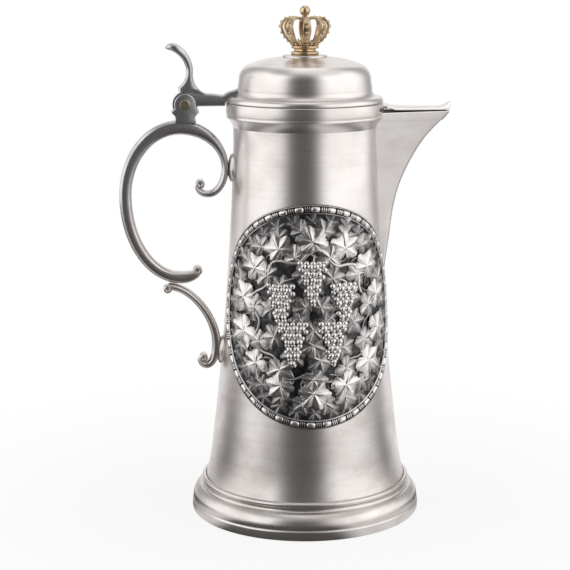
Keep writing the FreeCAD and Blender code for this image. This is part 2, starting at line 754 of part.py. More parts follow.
def make_finial():
    finial_seat = turned("finial_seat", [
        (stud_hole, dome_top),
        (s.seat_radius, dome_top),
        (s.seat_radius, dome_top + s.seat * 0.4, -0.2),
        (s.seat_radius - s.seat * 0.6, seat_top),
        (stud_hole, seat_top),
    ])
    third = s.circlet / 3
    hollow = s.circlet_radius - s.circlet_wall
    waist = s.circlet_radius - 0.9
    floor_top = seat_top + third
    crown_circlet = turned("crown_circlet", [
        (stud_hole, seat_top),
        (s.circlet_radius, seat_top, -0.35),
        (s.circlet_radius, seat_top + third),
        (waist, seat_top + third * 1.1),
        (waist, seat_top + third * 1.9),
        (s.circlet_radius, seat_top + third * 2, -0.35),
        (s.circlet_radius, circlet_top),
        (hollow, circlet_top),
        (hollow, floor_top),
        (stud_hole, floor_top),
    ])
    crown_leaves = shaped("crown_leaves", Part.makeCompound(leaf_ring()))
    crown_arches = shaped("crown_arches", Part.makeCompound(arch_ring()))
    arch_summit = circlet_top + s.arch_top
    collar_foot = arch_summit - s.collar
    crown_collar = turned("crown_collar", [
        (0, collar_foot, -0.2),
        (s.collar_radius, collar_foot + s.collar * 0.4),
        (s.collar_radius, collar_foot + s.collar * 0.9),
        (s.orb_neck, arch_summit),
        (0, arch_summit),
    ])
    orb_centre = arch_summit + s.orb_neck * 0.7 + s.orb_radius
    ball = document.addObject("Part::Sphere", "orb_ball")
    bind(ball, "Radius", s.orb_radius)
    bind(ball, "Placement.Base.z", orb_centre)
    neck = document.addObject("Part::Cone", "orb_stem")
    bind(neck, "Radius1", s.orb_neck)
    bind(neck, "Radius2", s.orb_neck * 0.7)
    bind(neck, "Height", orb_centre - arch_summit)
    bind(neck, "Placement.Base.z", arch_summit)
    crown_orb = fused("crown_orb", ball, neck)
    return finial_seat, crown_circlet, crown_leaves, crown_arches, crown_collar, crown_orb


def about_axis(shape, step, steps):
    turned_copy = shape.copy()
    turned_copy.rotate(Vector(0, 0, 0), Vector(0, 0, 1), 360.0 * step / steps)
    return turned_copy


def leaf_ring():
    """Trefoil leaves that stand on the circlet between the arches."""
    foot = float(circlet_top)
    width = float(s.leaf)
    radius = float(s.circlet_radius) - float(s.circlet_wall) * 0.4
    lobes = [Part.makeSphere(width * 0.36, Vector(radius + width * lean, width * side, foot + width * rise))
             for lean, side, rise in ((0.95, 0, 1.2), (0.6, -0.42, 0.62), (0.6, 0.42, 0.62))]
    lean = Vector(0.55, 0, 1)
    stalk = Part.makeCylinder(width * 0.34, width * 1.6, Vector(radius, 0, foot) - lean * (width * 0.3), lean)
    room = Part.makeBox(width * 4, width * 4, width * 4, Vector(radius - width * 2, -width * 2, foot))
    leaf = stalk.multiFuse(lobes).common(room)
    return [about_axis(leaf, step + 0.5, ARCHES) for step in range(ARCHES)]


def arch_line():
    """The middle line of one arch from the circlet out, up and in to the collar."""
    foot = float(circlet_top)
    wide = float(s.arch_radius)
    summit = foot + float(s.arch_top)
    widest = foot + float(s.arch_rise)
    start = upright(float(s.circlet_radius) - float(s.circlet_wall) + float(s.arch_thick) / 2, foot)
    belly = upright(wide, widest)
    top = upright(wide * 0.6, summit - float(s.arch_thick) / 2)
    end = upright(float(s.collar_radius), summit - float(s.collar) / 2)
    middle = start + (belly - start) * 0.5
    lower = Part.Arc(start, upright(middle.x + wide * 0.09, middle.z - wide * 0.05), belly)
    bend = belly + (top - belly) * 0.5
    upper = Part.Arc(belly, upright(bend.x + wide * 0.09, bend.z + wide * 0.075), top)
    inward = top + (end - top) * 0.5
    dip = Part.Arc(top, upright(inward.x, inward.z + wide * 0.03), end)
    return lower, upper, dip


def arch_ring():
    """The pearled arches. Each stays inside its own sector, so that neighbours never meet."""
    line = arch_line()
    path = Part.Wire([arc.toShape() for arc in line])
    start = line[0].StartPoint
    half_width = float(s.arch_width) / 2
    half_thick = float(s.arch_thick) / 2
    section = Part.makePolygon([start + Vector(x, y, 0) for x, y in (
        (-half_thick, -half_width), (half_thick, -half_width), (half_thick, half_width),
        (-half_thick, half_width), (-half_thick, -half_width))])
    band = path.makePipeShell([section], True, False)
    pearls = []
    for step in range(ARCH_PEARLS):
        arc = line[0] if step < 4 else line[1]
        share = (step + 1.2) / 4.45 if step < 4 else (step - 3.6) / 2.7
        at = arc.value(arc.FirstParameter + (arc.LastParameter - arc.FirstParameter) * share)
        outward = upright(at.x - float(s.arch_radius) * 0.35,
                          at.z - float(circlet_top) - float(s.arch_rise) * 0.75)
        outward.normalize()
        pearls.append(Part.makeCone(float(s.pearl), float(s.pearl) * 0.55, float(s.pearl) * 1.8, at, outward))
    arch = band.multiFuse(pearls)
    reach = float(s.arch_radius) * 2
    spread = reach * math.tan(math.pi / ARCHES) * 0.98
    low = float(circlet_top)
    corners = [Vector(0, 0, low), Vector(reach, -spread, low), Vector(reach, spread, low), Vector(0, 0, low)]
    sector = Part.Face(Part.makePolygon(corners)).extrude(Vector(0, 0, reach))
    arch = arch.common(sector).cut(Part.makeCylinder(float(s.collar_radius), reach, Vector(0, 0, low)))
    return [about_axis(arch, step, ARCHES) for step in range(ARCHES)]


def make_fastener():
    third = s.circlet / 3
    head_foot = seat_top + third
    washer_top = dome_top - s.dome_wall
    nut_top = washer_top - s.washer
    nut_foot = nut_top - s.nut
    finial_stud = turned("finial_stud", [
        (0, nut_foot - 1.5),
        (s.stud_radius - 0.5, nut_foot - 1.5),
        (s.stud_radius, nut_foot - 1.0),
        (s.stud_radius, head_foot),
        (s.stud_head_radius, head_foot),
        (s.stud_head_radius, head_foot + s.stud_head * 0.6),
        (s.stud_head_radius * 0.7, head_foot + s.stud_head),
        (0, head_foot + s.stud_head),
    ])
    finial_washer = turned("finial_washer", [
        (s.stud_radius, nut_top), (s.washer_radius, nut_top),
        (s.washer_radius, washer_top), (s.stud_radius, washer_top)])
    prism = document.addObject("Part::Prism", "nut_prism")
    prism.Polygon = 6
    bind(prism, "Circumradius", s.nut_across / 2)
    bind(prism, "Height", s.nut)
    bind(prism, "Placement.Base.z", nut_foot)
    bore = document.addObject("Part::Cylinder", "nut_bore")
    bind(bore, "Radius", s.stud_radius)
    bind(bore, "Height", s.nut)
    bind(bore, "Placement.Base.z", nut_foot)
    finial_nut = cut("finial_nut", prism, bore)
    return finial_stud, finial_washer, finial_nut


# Spout cover

def make_cover():
    """A plate that leaves the lid under its flange, dips to the spout edge and turns up at the tip."""
    tip = s.spout_reach + s.strip + s.cover_overhang
    low = spout_top + s.cover_gap
    root_x = rim_radius + 1.5
    dip_x = rim_radius + 8.5
    turn_x = (root_x + dip_x) / 2
    rise_x = tip - 13
    start_x = rim_radius - 3
    middle = low + (s.cover_arch + s.cover_root) / 2

    lower = [(start_x, low + s.cover_root), (root_x, low + s.cover_root, 0.06), (turn_x, middle, -0.06),
             (dip_x, low + s.cover_arch), (tip - s.cover_overhang, low, -0.15)]
    upper = [(tip - s.cover_overhang / 2, low + s.cover + s.cover_upturn, 0.1),
             (rise_x, low + s.cover * 1.25, 0.01),
             (dip_x, low + s.cover_arch + s.cover, 0.06), (turn_x, middle + s.cover, -0.06),
             (root_x, low + s.cover_root + s.cover), (start_x, low + s.cover_root + s.cover)]
    side = padded("cover_side", lower + upper, s.spout_half_width * 3)
    strip_edge = s.spout_half_width + s.strip - 2.1
    inside_notch = s.spout_half_width - 2.4
    nose = s.spout_nose + s.strip
    plan = padded("cover_plan", [
        (start_x - 1, -inside_notch),
        (rim_radius + s.cover_clearance, -inside_notch),
        (rim_radius + s.cover_clearance, -strip_edge),
        (tip - nose, -nose, -0.5),
        (tip - nose, nose),
        (rim_radius + s.cover_clearance, strip_edge),
        (rim_radius + s.cover_clearance, inside_notch),
        (start_x - 1, inside_notch),
    ], s.rim_height * 3, "XY_Plane")
    plate = common("cover_plate", side, plan)
    root = document.addObject("Part::Cylinder", "cover_root_disc")
    bind(root, "Radius", flange_radius)
    bind(root, "Height", lid_height - low - s.cover_root - s.cover * 0.6)
    bind(root, "Placement.Base.z", low + s.cover_root + s.cover * 0.6)
    room = document.addObject("Part::Box", "cover_root_room")
    bind(room, "Length", rim_radius)
    bind(room, "Width", (s.mouth_notch - s.cover_clearance) * 2)
    bind(room, "Height", s.rim_height)
    bind(room, "Placement.Base.x", bezel_radius - 1.5)
    bind(room, "Placement.Base.y", -(s.mouth_notch - s.cover_clearance))
    bind(room, "Placement.Base.z", s.rim_height / 2)
    return fused("spout_cover", plate, common("cover_seat", root, room))


# Hinge and lever

def from_pin(*corner):
    """A corner given from the pin, in the jug's own coordinates."""
    return (pin_x + corner[0], pin_z + corner[1]) + tuple(corner[2:])


def make_bracket(handle_scroll):
    ear = s.ear_radius
    foot = s.bracket_foot
    base = -s.bracket_seat - 3
    blank = padded("bracket_blank", [from_pin(*corner) for corner in (
        (-foot, base),
        (foot, base),
        (foot * 0.92, -s.bracket_seat + 1.0, 0.12),
        (foot * 0.98, -ear),
        (ear + s.spur, -ear * 0.66),
        (ear * 0.98, -ear * 0.2, (pin_x, pin_z + ear)),
        (-ear * 0.94, -ear * 0.34),
        (-ear - s.spur, -ear * 0.68),
        (-foot * 0.98, -ear, 0.12),
        (-foot * 0.92, -s.bracket_seat + 1.0),
    )], s.bracket_width)
    slot = s.tongue_width + s.tongue_clearance * 2
    floor = -s.tongue_radius - s.lever_clearance
    pocket_slot(blank, "tongue_slot", [from_pin(*corner) for corner in (
        (-ear * 3, floor), (ear * 3, floor), (ear * 3, ear * 2), (-ear * 3, ear * 2))], slot)
    pocket_bore(blank, "pin_bore", pin_x, pin_z, s.pin_radius, s.bracket_width * 2)
    return cut("hinge_bracket", blank, handle_scroll)


def make_pin():
    """The riveted pin, turned about its own axis along Y."""
    body = document.addObject("PartDesign::Body", "hinge_pin")
    body.Label = "hinge_pin"
    sketch = new_sketch(body, "hinge_pin_outline", "XY_Plane")
    half = s.bracket_width / 2
    draw_outline(sketch, [
        (0, -half - s.pin_head),
        (s.pin_head_radius * 0.8, -half - s.pin_head, -0.2),
        (s.pin_head_radius, -half),
        (s.pin_radius, -half),
        (s.pin_radius, half),
        (s.pin_head_radius, half, -0.2),
        (s.pin_head_radius * 0.8, half + s.pin_head),
        (0, half + s.pin_head),
    ])
    turn = body.newObject("PartDesign::Revolution", "hinge_pin_turn")
    turn.Profile = sketch
    turn.ReferenceAxis = (sketch, ["V_Axis"])
    turn.Angle = 360
    bind(body, "Placement.Base.x", pin_x)
    bind(body, "Placement.Base.z", pin_z)
    return body


def make_lever(lid_solid):
    clear = s.ear_radius + s.lever_clearance
    waist = s.lever_rise * 0.52
    right = s.lever_thick + 1.3
    arm_end = s.hinge_reach + s.rim_overhang + s.dome_inset
    side = padded("lever_side", [from_pin(*corner) for corner in (
        (clear * 0.985, -s.arm_drop),
        (arm_end, -s.arm_drop),
        (arm_end, s.arm_height + 4.0),
        (s.hinge_reach - 2.0, s.arm_height, 0.02),
        (s.hinge_reach * 0.5, s.arm_height + 1.2, 0.17),
        (right, waist, -0.14),
        (-4.6, s.lever_rise - 1.6, -0.2),
        (-13.2, s.lever_rise - 3.4, -0.4),
        (-11.4, s.lever_rise - 4.8, 0.17),
        (right - s.lever_thick, waist, 0.12),
        (-4.6, clear + 3.4),
        (-4.4, clear + 0.9),
        (-2.5, clear, (pin_x + clear * 0.78, pin_z + clear * 0.64)),
    )], s.thumb_width * 2)
    half_lever = s.lever_width / 2
    half_thumb = s.thumb_width / 2
    front = padded("lever_front", [
        (-half_lever, pin_z - s.arm_drop - 10),
        (half_lever, pin_z - s.arm_drop - 10),
        (half_lever, pin_z + waist, 0.06),
        (half_thumb, pin_z + s.lever_rise - 7, -0.42),
        (-half_thumb, pin_z + s.lever_rise - 7, 0.06),
        (-half_lever, pin_z + waist),
    ], s.handle_reach * 3, "YZ_Plane")
    stem = common("lever_stem", side, front)
    tongue = document.addObject("Part::Cylinder", "tongue_disc")
    bind(tongue, "Radius", s.tongue_radius)
    bind(tongue, "Height", s.tongue_width)
    tongue.Placement.Rotation = FreeCAD.Rotation(Vector(1, 0, 0), -90)
    bind(tongue, "Placement.Base.x", pin_x)
    bind(tongue, "Placement.Base.y", -s.tongue_width / 2)
    bind(tongue, "Placement.Base.z", pin_z)
    bore = document.addObject("Part::Cylinder", "tongue_bore")
    bind(bore, "Radius", s.pin_radius + s.pin_clearance)
    bind(bore, "Height", s.thumb_width * 3)
    bore.Placement.Rotation = FreeCAD.Rotation(Vector(1, 0, 0), -90)
    bind(bore, "Placement.Base.x", pin_x)
    bind(bore, "Placement.Base.y", -s.thumb_width * 1.5)
    bind(bore, "Placement.Base.z", pin_z)
    rim_room = document.addObject("Part::Cylinder", "rim_room")
    bind(rim_room, "Radius", rim_radius + s.flange_inset)
    bind(rim_room, "Height", lid_height)
    tools = fused("lever_tools", bore, rim_room, lid_solid)
    return cut("thumb_lever", fused("lever_blank", stem, tongue), tools)


# Handle

def scroll_face(nodes, roundness):
    """The side view of a scroll. Its middle line turns a quarter from node to node, always clockwise.

    A node is (x, z, thickness, heading), with a heading of left, up, right or down."""
    away = {"left": (0, -1), "up": (-1, 0), "right": (0, 1), "down": (1, 0)}

    def side(sign):
        line = []
        for x, z, thick, heading in nodes:
            out = away[heading]
            half = sign * float(thick) / 2
            line.append((upright(float(x) + out[0] * half, float(z) + out[1] * half), heading))
        return line

    def curves(line):
        made = []
        for (start, heading), (end, _), round_share in zip(line, line[1:], roundness):
            level = heading in ("left", "right")
            corner = upright(end.x, start.z) if level else upright(start.x, end.z)
            curve = Part.BezierCurve()
            curve.setPoles([start, start + (corner - start) * round_share,
                            end + (corner - end) * round_share, end])
            made.append(curve.toShape())
        return made

    outer, inner = side(1), side(-1)
    edges = curves(outer) + [Part.makeLine(outer[-1][0], inner[-1][0])]
    edges += curves(inner) + [Part.makeLine(outer[0][0], inner[0][0])]
    return Part.Face(Part.Wire(Part.sortEdges(edges)[0]))


def bud(label, x, z, radius):
    """A round bud that ends a scroll, a little wider than the bar."""
    disc = document.addObject("Part::Cylinder", label)
    bind(disc, "Radius", radius)
    bind(disc, "Height", s.handle_width + s.bud_proud * 2)
    disc.Placement.Rotation = FreeCAD.Rotation(Vector(1, 0, 0), -90)
    bind(disc, "Placement.Base.x", x)
    bind(disc, "Placement.Base.y", -s.handle_width / 2 - s.bud_proud)
    bind(disc, "Placement.Base.z", z)
    return disc


def scroll_bar(label, nodes, roundness, buds):
    """A scroll with its end buds, cut to the handle's width and chamfered along its edges."""
    bar = extruded(f"{label}_bar", shaped(f"{label}_outline", scroll_face(nodes, roundness)), s.handle_width)
    document.recompute()
    half = float(s.handle_width) / 2
    edges = []
    for index, edge in enumerate(bar.Shape.Edges, start=1):
        curved = edge.Curve.TypeId != "Part::GeomLine"
        if curved and abs(abs(edge.CenterOfMass.y) - half) < 1e-6:
            edges.append((index, float(s.handle_chamfer), float(s.handle_chamfer)))
    chamfer = document.addObject("Part::Chamfer", f"{label}_chamfer")
    chamfer.Base = bar
    chamfer.Edges = edges
    discs = [bud(f"{label}_bud_{index}", *place) for index, place in enumerate(buds, start=1)]
    return fused(label, chamfer, *discs)


def make_handle():
    pad_z = s.rim_height - s.upper_pad_drop
    pad_x = -(wall_radius(pad_z) + s.pad) - s.curl_thick / 2
    top_x = pin_x - s.handle_setback
    top_z = pin_z - s.bracket_seat - s.handle_top_thick / 2
    back_x = -s.handle_reach + s.handle_thick / 2
    bottom_z = top_z - s.handle_low
    curl_z = pad_z - s.curl_drop
    curl_x = pad_x - s.curl_reach
    tip_x = top_x + 11.6
    handle_scroll = scroll_bar("handle_scroll", [
        (tip_x, bottom_z + 5.0, 5.4, "down"),
        (top_x, bottom_z, s.handle_low_thick, "left"),
        (back_x, bottom_z + s.grip_height, s.handle_thick, "up"),
        (top_x, top_z, s.handle_top_thick, "right"),
        (pad_x, pad_z, s.curl_thick, "down"),
        (curl_x, curl_z, s.curl_thick, "left"),
        (curl_x - 7.0, curl_z + 5.4, s.curl_thick * 0.88, "up"),
    ], [QUARTER] * 6, [
        (tip_x, bottom_z + 5.0, s.bud_radius),
        (curl_x - 5.4, curl_z + 7.2, s.bud_radius),
    ])
    low_z = bottom_z - s.lower_pad_height
    low_x = -(wall_radius(low_z) + s.pad * 0.5) - s.lower_thick / 2
    start_z = bottom_z - s.handle_low_thick / 2 - s.lower_thick / 2 + 0.8
    start_x = top_x - 5.0
    end_x = low_x - 7.0
    end_z = low_z - 16.0
    lower_blank = scroll_bar("lower_blank", [
        (start_x - 4.0, start_z, s.lower_thick * 0.8, "right"),
        (low_x, low_z, s.lower_thick, "down"),
        (end_x, end_z, s.lower_thick * 0.82, "left"),
        (end_x - 4.4, end_z + 4.4, s.lower_thick * 0.72, "up"),
    ], [0.46, QUARTER, QUARTER], [
        (start_x - 4.8, start_z - 1.6, s.bud_radius * 0.95),
        (end_x - 2.2, end_z + 5.6, s.bud_radius * 0.9),
    ])
    lower_scroll = cut("lower_scroll", lower_blank, handle_scroll)
    return handle_scroll, lower_scroll, pad_z, low_z


def handle_pad(label, height, scroll, body_solid):
    """An oval pad between the wall and a scroll."""
    oval = Part.Ellipse(Vector(0, 0, 0), float(s.pad_half_height), float(s.pad_half_width))
    face = Part.Face(Part.Wire([oval.toShape()]))
    outline = shaped(f"{label}_outline", face)
    start = -(wall_radius(height) + s.pad + s.curl_thick * 0.4)
    outline.Placement = FreeCAD.Placement(upright(start, height), FreeCAD.Rotation(Vector(0, 1, 0), 90))
    block = document.addObject("Part::Extrusion", f"{label}_block")
    block.Base = outline
    block.DirMode = "Custom"
    block.Dir = Vector(1, 0, 0)
    block.Solid = True
    bind(block, "LengthFwd", s.pad * 2 + s.curl_thick)
    return cut(label, block, fused(f"{label}_tool", body_solid, scroll))


def make_jug():
    foot_ring, foot_bead, base_plate, body_solid = make_foot()
    body_wall, rim_band, spout, spout_rim = make_spout(body_solid)
    plate, border, relief = make_medallion(body_solid)
    handle_scroll, lower_scroll, upper_z, lower_z = make_handle()
    upper_pad = handle_pad("upper_pad", upper_z, handle_scroll, body_solid)
    lower_pad = handle_pad("lower_pad", lower_z - s.pad_half_height / 2, lower_scroll, body_solid)
    hinge_bracket = make_bracket(handle_scroll)
    hinge_pin = make_pin()
    lid_flange, lid_bezel, lid_dome, lid_solid = make_lid()
    spout_cover = make_cover()
    thumb_lever = make_lever(lid_solid)
    return [foot_ring, foot_bead, base_plate, body_wall, rim_band, spout, spout_rim, plate, border, relief,
            handle_scroll, lower_scroll, upper_pad, lower_pad, hinge_bracket, hinge_pin,
            lid_flange, lid_bezel, lid_dome, spout_cover, thumb_lever, *make_finial(), *make_fastener()]


def check(pieces):
    for feature in document.Objects:
        bad = {"Invalid", "Error"} & set(feature.State)
        if bad:
            raise RuntimeError(f"{feature.Label} is {bad}")
    for piece in pieces:
        if piece.Shape.isNull() or not piece.Shape.isValid() or not piece.Shape.Solids:
            raise RuntimeError(f"{piece.Label} has no valid solid")


def write(pieces):
    os.makedirs("parts", exist_ok=True)
    for piece in pieces:
        piece.Shape.exportStep(f"parts/{piece.Label}.step")


jug = make_jug()
document.recompute()
check(jug)
write(jug)
for piece in jug:
    print(f"{piece.Label}: {len(piece.Shape.Solids)} solids, {piece.Shape.Volume:.1f} mm3")
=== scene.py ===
import math
import random

import bpy
from mathutils import Matrix, Vector


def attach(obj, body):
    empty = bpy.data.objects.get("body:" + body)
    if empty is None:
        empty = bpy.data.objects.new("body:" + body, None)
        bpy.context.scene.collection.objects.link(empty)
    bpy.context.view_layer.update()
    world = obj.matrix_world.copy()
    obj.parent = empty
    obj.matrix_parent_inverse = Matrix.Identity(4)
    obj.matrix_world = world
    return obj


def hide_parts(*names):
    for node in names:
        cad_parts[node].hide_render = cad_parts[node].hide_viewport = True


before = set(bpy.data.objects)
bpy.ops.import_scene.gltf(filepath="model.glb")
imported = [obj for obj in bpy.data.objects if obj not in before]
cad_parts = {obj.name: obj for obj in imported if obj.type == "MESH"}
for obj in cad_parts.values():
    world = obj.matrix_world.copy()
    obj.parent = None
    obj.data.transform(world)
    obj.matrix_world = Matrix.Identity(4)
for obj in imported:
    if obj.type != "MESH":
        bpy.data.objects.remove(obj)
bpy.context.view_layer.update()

bl_info = {
    "name": "Lidded serving jug",
    "version": (1, 0, 0),
    "blender": (4, 5, 0),
    "location": "View3D > Sidebar > Jug",
    "description": "Models a silver-plated serving jug with a hinged lid and a crown finial",
    "category": "Object",
}

MM = 0.001
# Points closer than this, in metres, are one point
MERGE = 0.000004
# Middle of the hinge pin, in millimetres
PIN_X = -83.7
PIN_Z = 292.5
# Share of the way to the corner for the handles of a quarter circle
QUARTER = 0.5523


def length(name, description, millimetres):
    """A length property, kept in metres."""
    return bpy.props.FloatProperty(name=name, description=description, default=millimetres * MM,
                                   min=0.0, unit="LENGTH", precision=5)


def colour(name, description, red, green, blue):
    """A colour property."""
    return bpy.props.FloatVectorProperty(name=name, description=description, subtype="COLOR", size=3,
                                         default=(red, green, blue), min=0.0, max=1.0)


def number(name, description, default, **settings):
    """A property that is a plain number."""
    return bpy.props.FloatProperty(name=name, description=description, default=default, **settings)


class JugSizes(bpy.types.PropertyGroup):
    """Sizes of the jug's pieces."""
    foot_radius: length("Foot radius", "Radius of the foot at the table", 82.0)
    foot_height: length("Foot height", "Height of the seam between foot and wall", 20.6)
    base_radius: length("Base radius", "Outer radius of the wall at the seam", 73.0)
    flare_radius: length("Flare radius", "Outer radius of the wall above its flare", 67.7)
    flare_height: length("Flare height", "Height where the flare ends", 44.0)
    neck_radius: length("Neck radius", "Outer radius of the neck", 50.3)
    neck_height: length("Neck height", "Height where the neck starts", 265.0)
    wall_hollow: length("Wall hollow", "Depth of the hollow of the long taper", 2.6)
    wall: length("Wall", "Thickness of the wall", 1.6)
    mouth_height: length("Mouth height", "Height of the mouth", 293.5)
    rim_radius: length("Rim radius", "Radius of the flat rim band", 55.2)
    bead_wire: length("Bead wire", "Radius of the half-round wire over the seam", 2.0)
    spout_foot: length("Spout foot", "Height of the lower end of the spout", 175.0)
    spout_top: length("Spout top", "Height of the spout edge", 286.8)
    spout_reach: length("Spout reach", "Distance of the spout tip from the axis", 100.7)
    spout_half_width: length("Spout half width", "Half width of the spout at its edge", 15.0)
    spout_wall: length("Spout wall", "Thickness of the spout sheet", 1.4)
    medallion_half_width: length("Medallion half width", "Half width of the plaque along the wall", 75.0)
    medallion_half_height: length("Medallion half height", "Half height of the plaque", 77.0)
    medallion_height: length("Medallion height", "Height of the middle of the plaque", 151.8)
    border_width: length("Border width", "Width of the bead-and-reel border", 6.4)
    handle_width: length("Handle width", "Width of the handle bar", 9.0)
    handle_chamfer: length("Handle chamfer", "Chamfer along the handle bar", 1.7)
    thumb_width: length("Thumb width", "Width of the thumbpiece", 13.0)
    lever_width: length("Lever width", "Width of the lever stem", 7.4)
    flange_radius: length("Flange radius", "Radius of the lid flange", 54.7)
    dome_radius: length("Dome radius", "Radius of the dome at its foot", 49.7)
    lid_height: length("Lid height", "Height of the underside of the lid", 293.7)
    dome_top: length("Dome top", "Height of the flat top of the dome", 324.6)
    seat_radius: length("Seat radius", "Radius of the finial seat", 15.5)
    circlet_radius: length("Circlet radius", "Radius of the crown circlet", 8.7)
    crown_radius: length("Crown radius", "Radius of the crown at the belly of its arches", 16.4)
    arch_width: length("Arch width", "Greatest width of a crown arch", 5.8)
    orb_radius: length("Orb radius", "Radius of the orb", 3.6)


class JugColours(bpy.types.PropertyGroup):
    """Colours of the jug's finishes."""
    silver: colour("Silver", "Brushed silver plate", 0.80, 0.765, 0.745)
    silver_shade: colour("Silver shade", "Duller patches of the plate", 0.62, 0.57, 0.545)
    silver_stain: colour("Silver stain", "Brown stains on the plate", 0.38, 0.325, 0.30)
    cast: colour("Cast silver", "Handle, hinge and lever", 0.64, 0.62, 0.625)
    cast_shade: colour("Cast shade", "Tarnish in the hollows of the castings", 0.42, 0.405, 0.41)
    # Mixed in by height alone: the castings turn lighter and warmer towards the handle's lower end.
    cast_warm: colour("Cast warm", "Rubbed lower end of the handle", 0.74, 0.66, 0.61)
    relief_light: colour("Relief light", "Rubbed high parts of the relief", 0.78, 0.755, 0.74)
    relief_dark: colour("Relief dark", "Oxidised ground of the relief", 0.022, 0.021, 0.022)
    gilt: colour("Gilt", "Old gilding on the crown", 0.63, 0.48, 0.31)
    gilt_shade: colour("Gilt shade", "Brown deposits in the gilding", 0.20, 0.135, 0.075)
    brass: colour("Brass", "Hinge pin, screw and nut", 0.50, 0.42, 0.30)


class JugStage(bpy.types.PropertyGroup):
    """Light and camera."""
    lens: number("Lens", "Focal length", 100.9, unit="CAMERA")
    camera_shift: number("Shift", "Sideways shift of the picture, as a share of its width", -0.0350)
    camera_turn: number("Turn", "Camera's angle round the jug", math.radians(-5.5), subtype="ANGLE")
    camera_reach: length("Reach", "Level distance from the camera to the jug's axis", 1120.0)
    camera_height: length("Height", "Height of the camera", 388.5)
    camera_tilt: number("Tilt", "Camera's tilt from straight down", math.radians(78.61), subtype="ANGLE")
    floor_colour: colour("Floor", "Colour of the floor", 0.9, 0.9, 0.9)
    # Shown only in the metal: a darker copy of the floor's colour, painted shade on the floor in front of the
    # jug.
    painted_shade_floor: colour("Dim floor", "Colour of the floor in the metal, in front of the jug", 0.10, 0.095, 0.09)
    floor_radius: length("Floor radius", "Radius of the table top", 1300.0)
    # Strength of the painted pools of light on the floor, shown only in the metal.
    painted_pool_light: number("Floor light", "Brightness of the lit floor in the metal", 0.80, min=0.0, max=1.0)
    box_light: number("Box light", "Brightness of the soft boxes", 1.34, min=0.0)
    lamp_power: number("Lamp power", "Power of the lamp over the jug", 2.5, min=0.0, unit="POWER")


# Lines and sections, in millimetres

def arc(start, middle, end, count):
    """Points of the arc through three points, without its start."""
    ax, ay = start
    bx, by = middle
    cx, cy = end
    cross = 2 * (ax * (by - cy) + bx * (cy - ay) + cx * (ay - by))
    if abs(cross) < 1e-9:
        return [end]
    square_a, square_b, square_c = (x * x + y * y for x, y in (start, middle, end))
    ox = (square_a * (by - cy) + square_b * (cy - ay) + square_c * (ay - by)) / cross
    oy = (square_a * (cx - bx) + square_b * (ax - cx) + square_c * (bx - ax)) / cross
    radius = math.hypot(ax - ox, ay - oy)
    first = math.atan2(ay - oy, ax - ox)
    half = math.atan2(by - oy, bx - ox) - first
    last = math.atan2(cy - oy, cx - ox) - first
    turn = 2 * math.pi
    half, last = half % turn, last % turn
    if half > last:
        last -= turn
    points = []
    for step in range(1, count + 1):
        angle = first + last * step / count
        points.append((ox + radius * math.cos(angle), oy + radius * math.sin(angle)))
    return points


def drawn(corners, count=8):
    """An open line. A corner is (x, y), or (x, y, bend) where an arc leaves it, rising to the left for
    a positive bend, which is a share of the chord, or passing through a given point."""
    points = [tuple(corners[0][:2])]
    for corner, following in zip(corners, corners[1:]):
        end = tuple(following[:2])
        if len(corner) == 2:
            points.append(end)
            continue
        bend = corner[2]
        if isinstance(bend, tuple):
            middle = bend
        else:
            middle = ((corner[0] + end[0]) / 2 - bend * (end[1] - corner[1]),
                      (corner[1] + end[1]) / 2 + bend * (end[0] - corner[0]))
        points.extend(arc(tuple(corner[:2]), middle, end, count))
    return points


def eased(points, radius, closed=True):
    """A line whose sharp corners are rounded."""
    blunt, nearest, steps = math.radians(158), 0.42, 3
    made = []
    total = len(points)
    for index, here in enumerate(points):
        if not closed and index in (0, total - 1):
            made.append(here)
            continue
        before, after = Vector(points[index - 1]), Vector(points[(index + 1) % total])
        corner = Vector(here)
        back, ahead = before - corner, after - corner
        if back.length < 1e-6 or ahead.length < 1e-6 or back.angle(ahead) > blunt:
            made.append(here)
            continue
        reach = min(radius, back.length * nearest, ahead.length * nearest)
        first = corner + back.normalized() * reach
        last = corner + ahead.normalized() * reach
        for step in range(steps + 1):
            share = step / steps
            point = first * (1 - share) ** 2 + corner * (2 * share * (1 - share)) + last * share ** 2
            made.append(tuple(point))
    return made


def along(points, share):
    """The point at a share of a line's length, from 0 to 1."""
    runs = [math.dist(a, b) for a, b in zip(points, points[1:])]
    left = max(0.0, min(1.0, share)) * sum(runs)
    for a, b, run in zip(points, points[1:], runs):
        if left <= run and run > 0:
            return tuple(p + (q - p) * left / run for p, q in zip(a, b))
        left -= run
    return tuple(points[-1])


def direction(line, low, high):
    """The way a flat line runs between two shares of its length, and the way square to it."""
    ahead = Vector(along(line, high)) - Vector(along(line, low))
    ahead.normalize()
    return ahead, Vector((-ahead.y, ahead.x))


def both_sides(half):
    """A profile of (radius, y) points with its mirror image before it."""
    return [(radius, -y) for radius, y in half] + list(reversed(half))


def there_and_back(share):
    """Rises from 0 to 1 and falls to 0 again, for the face and the back of a flat piece."""
    return share * 2 if share <= 0.5 else (1 - share) * 2


def smooth(value):
    """A share from 0 to 1, with a soft start and end."""
    value = max(0.0, min(1.0, value))
    return value * value * (3 - 2 * value)


def wall_radius(height):
    """Outer radius of the long hollow taper."""
    size = bpy.context.scene.jug_sizes
    low, high = size.flare_height / MM, size.neck_height / MM
    share = (height - low) / (high - low)
    wide, narrow = size.flare_radius / MM, size.neck_radius / MM
    return wide - (wide - narrow) * share - 4 * size.wall_hollow / MM * share * (1 - share)


def on_wall(across, up, lift):
    """A point over the front of the wall, given along the wall from the middle of the plaque."""
    height = bpy.context.scene.jug_sizes.medallion_height / MM + up
    radius = wall_radius(height)
    angle = across / radius
    return (radius + lift) * math.sin(angle), -(radius + lift) * math.cos(angle), height


# Modelling steps

def clear_selection():
    if bpy.context.object and bpy.context.object.mode != "OBJECT":
        bpy.ops.object.mode_set(mode="OBJECT")
    bpy.ops.object.select_all(action="DESELECT")


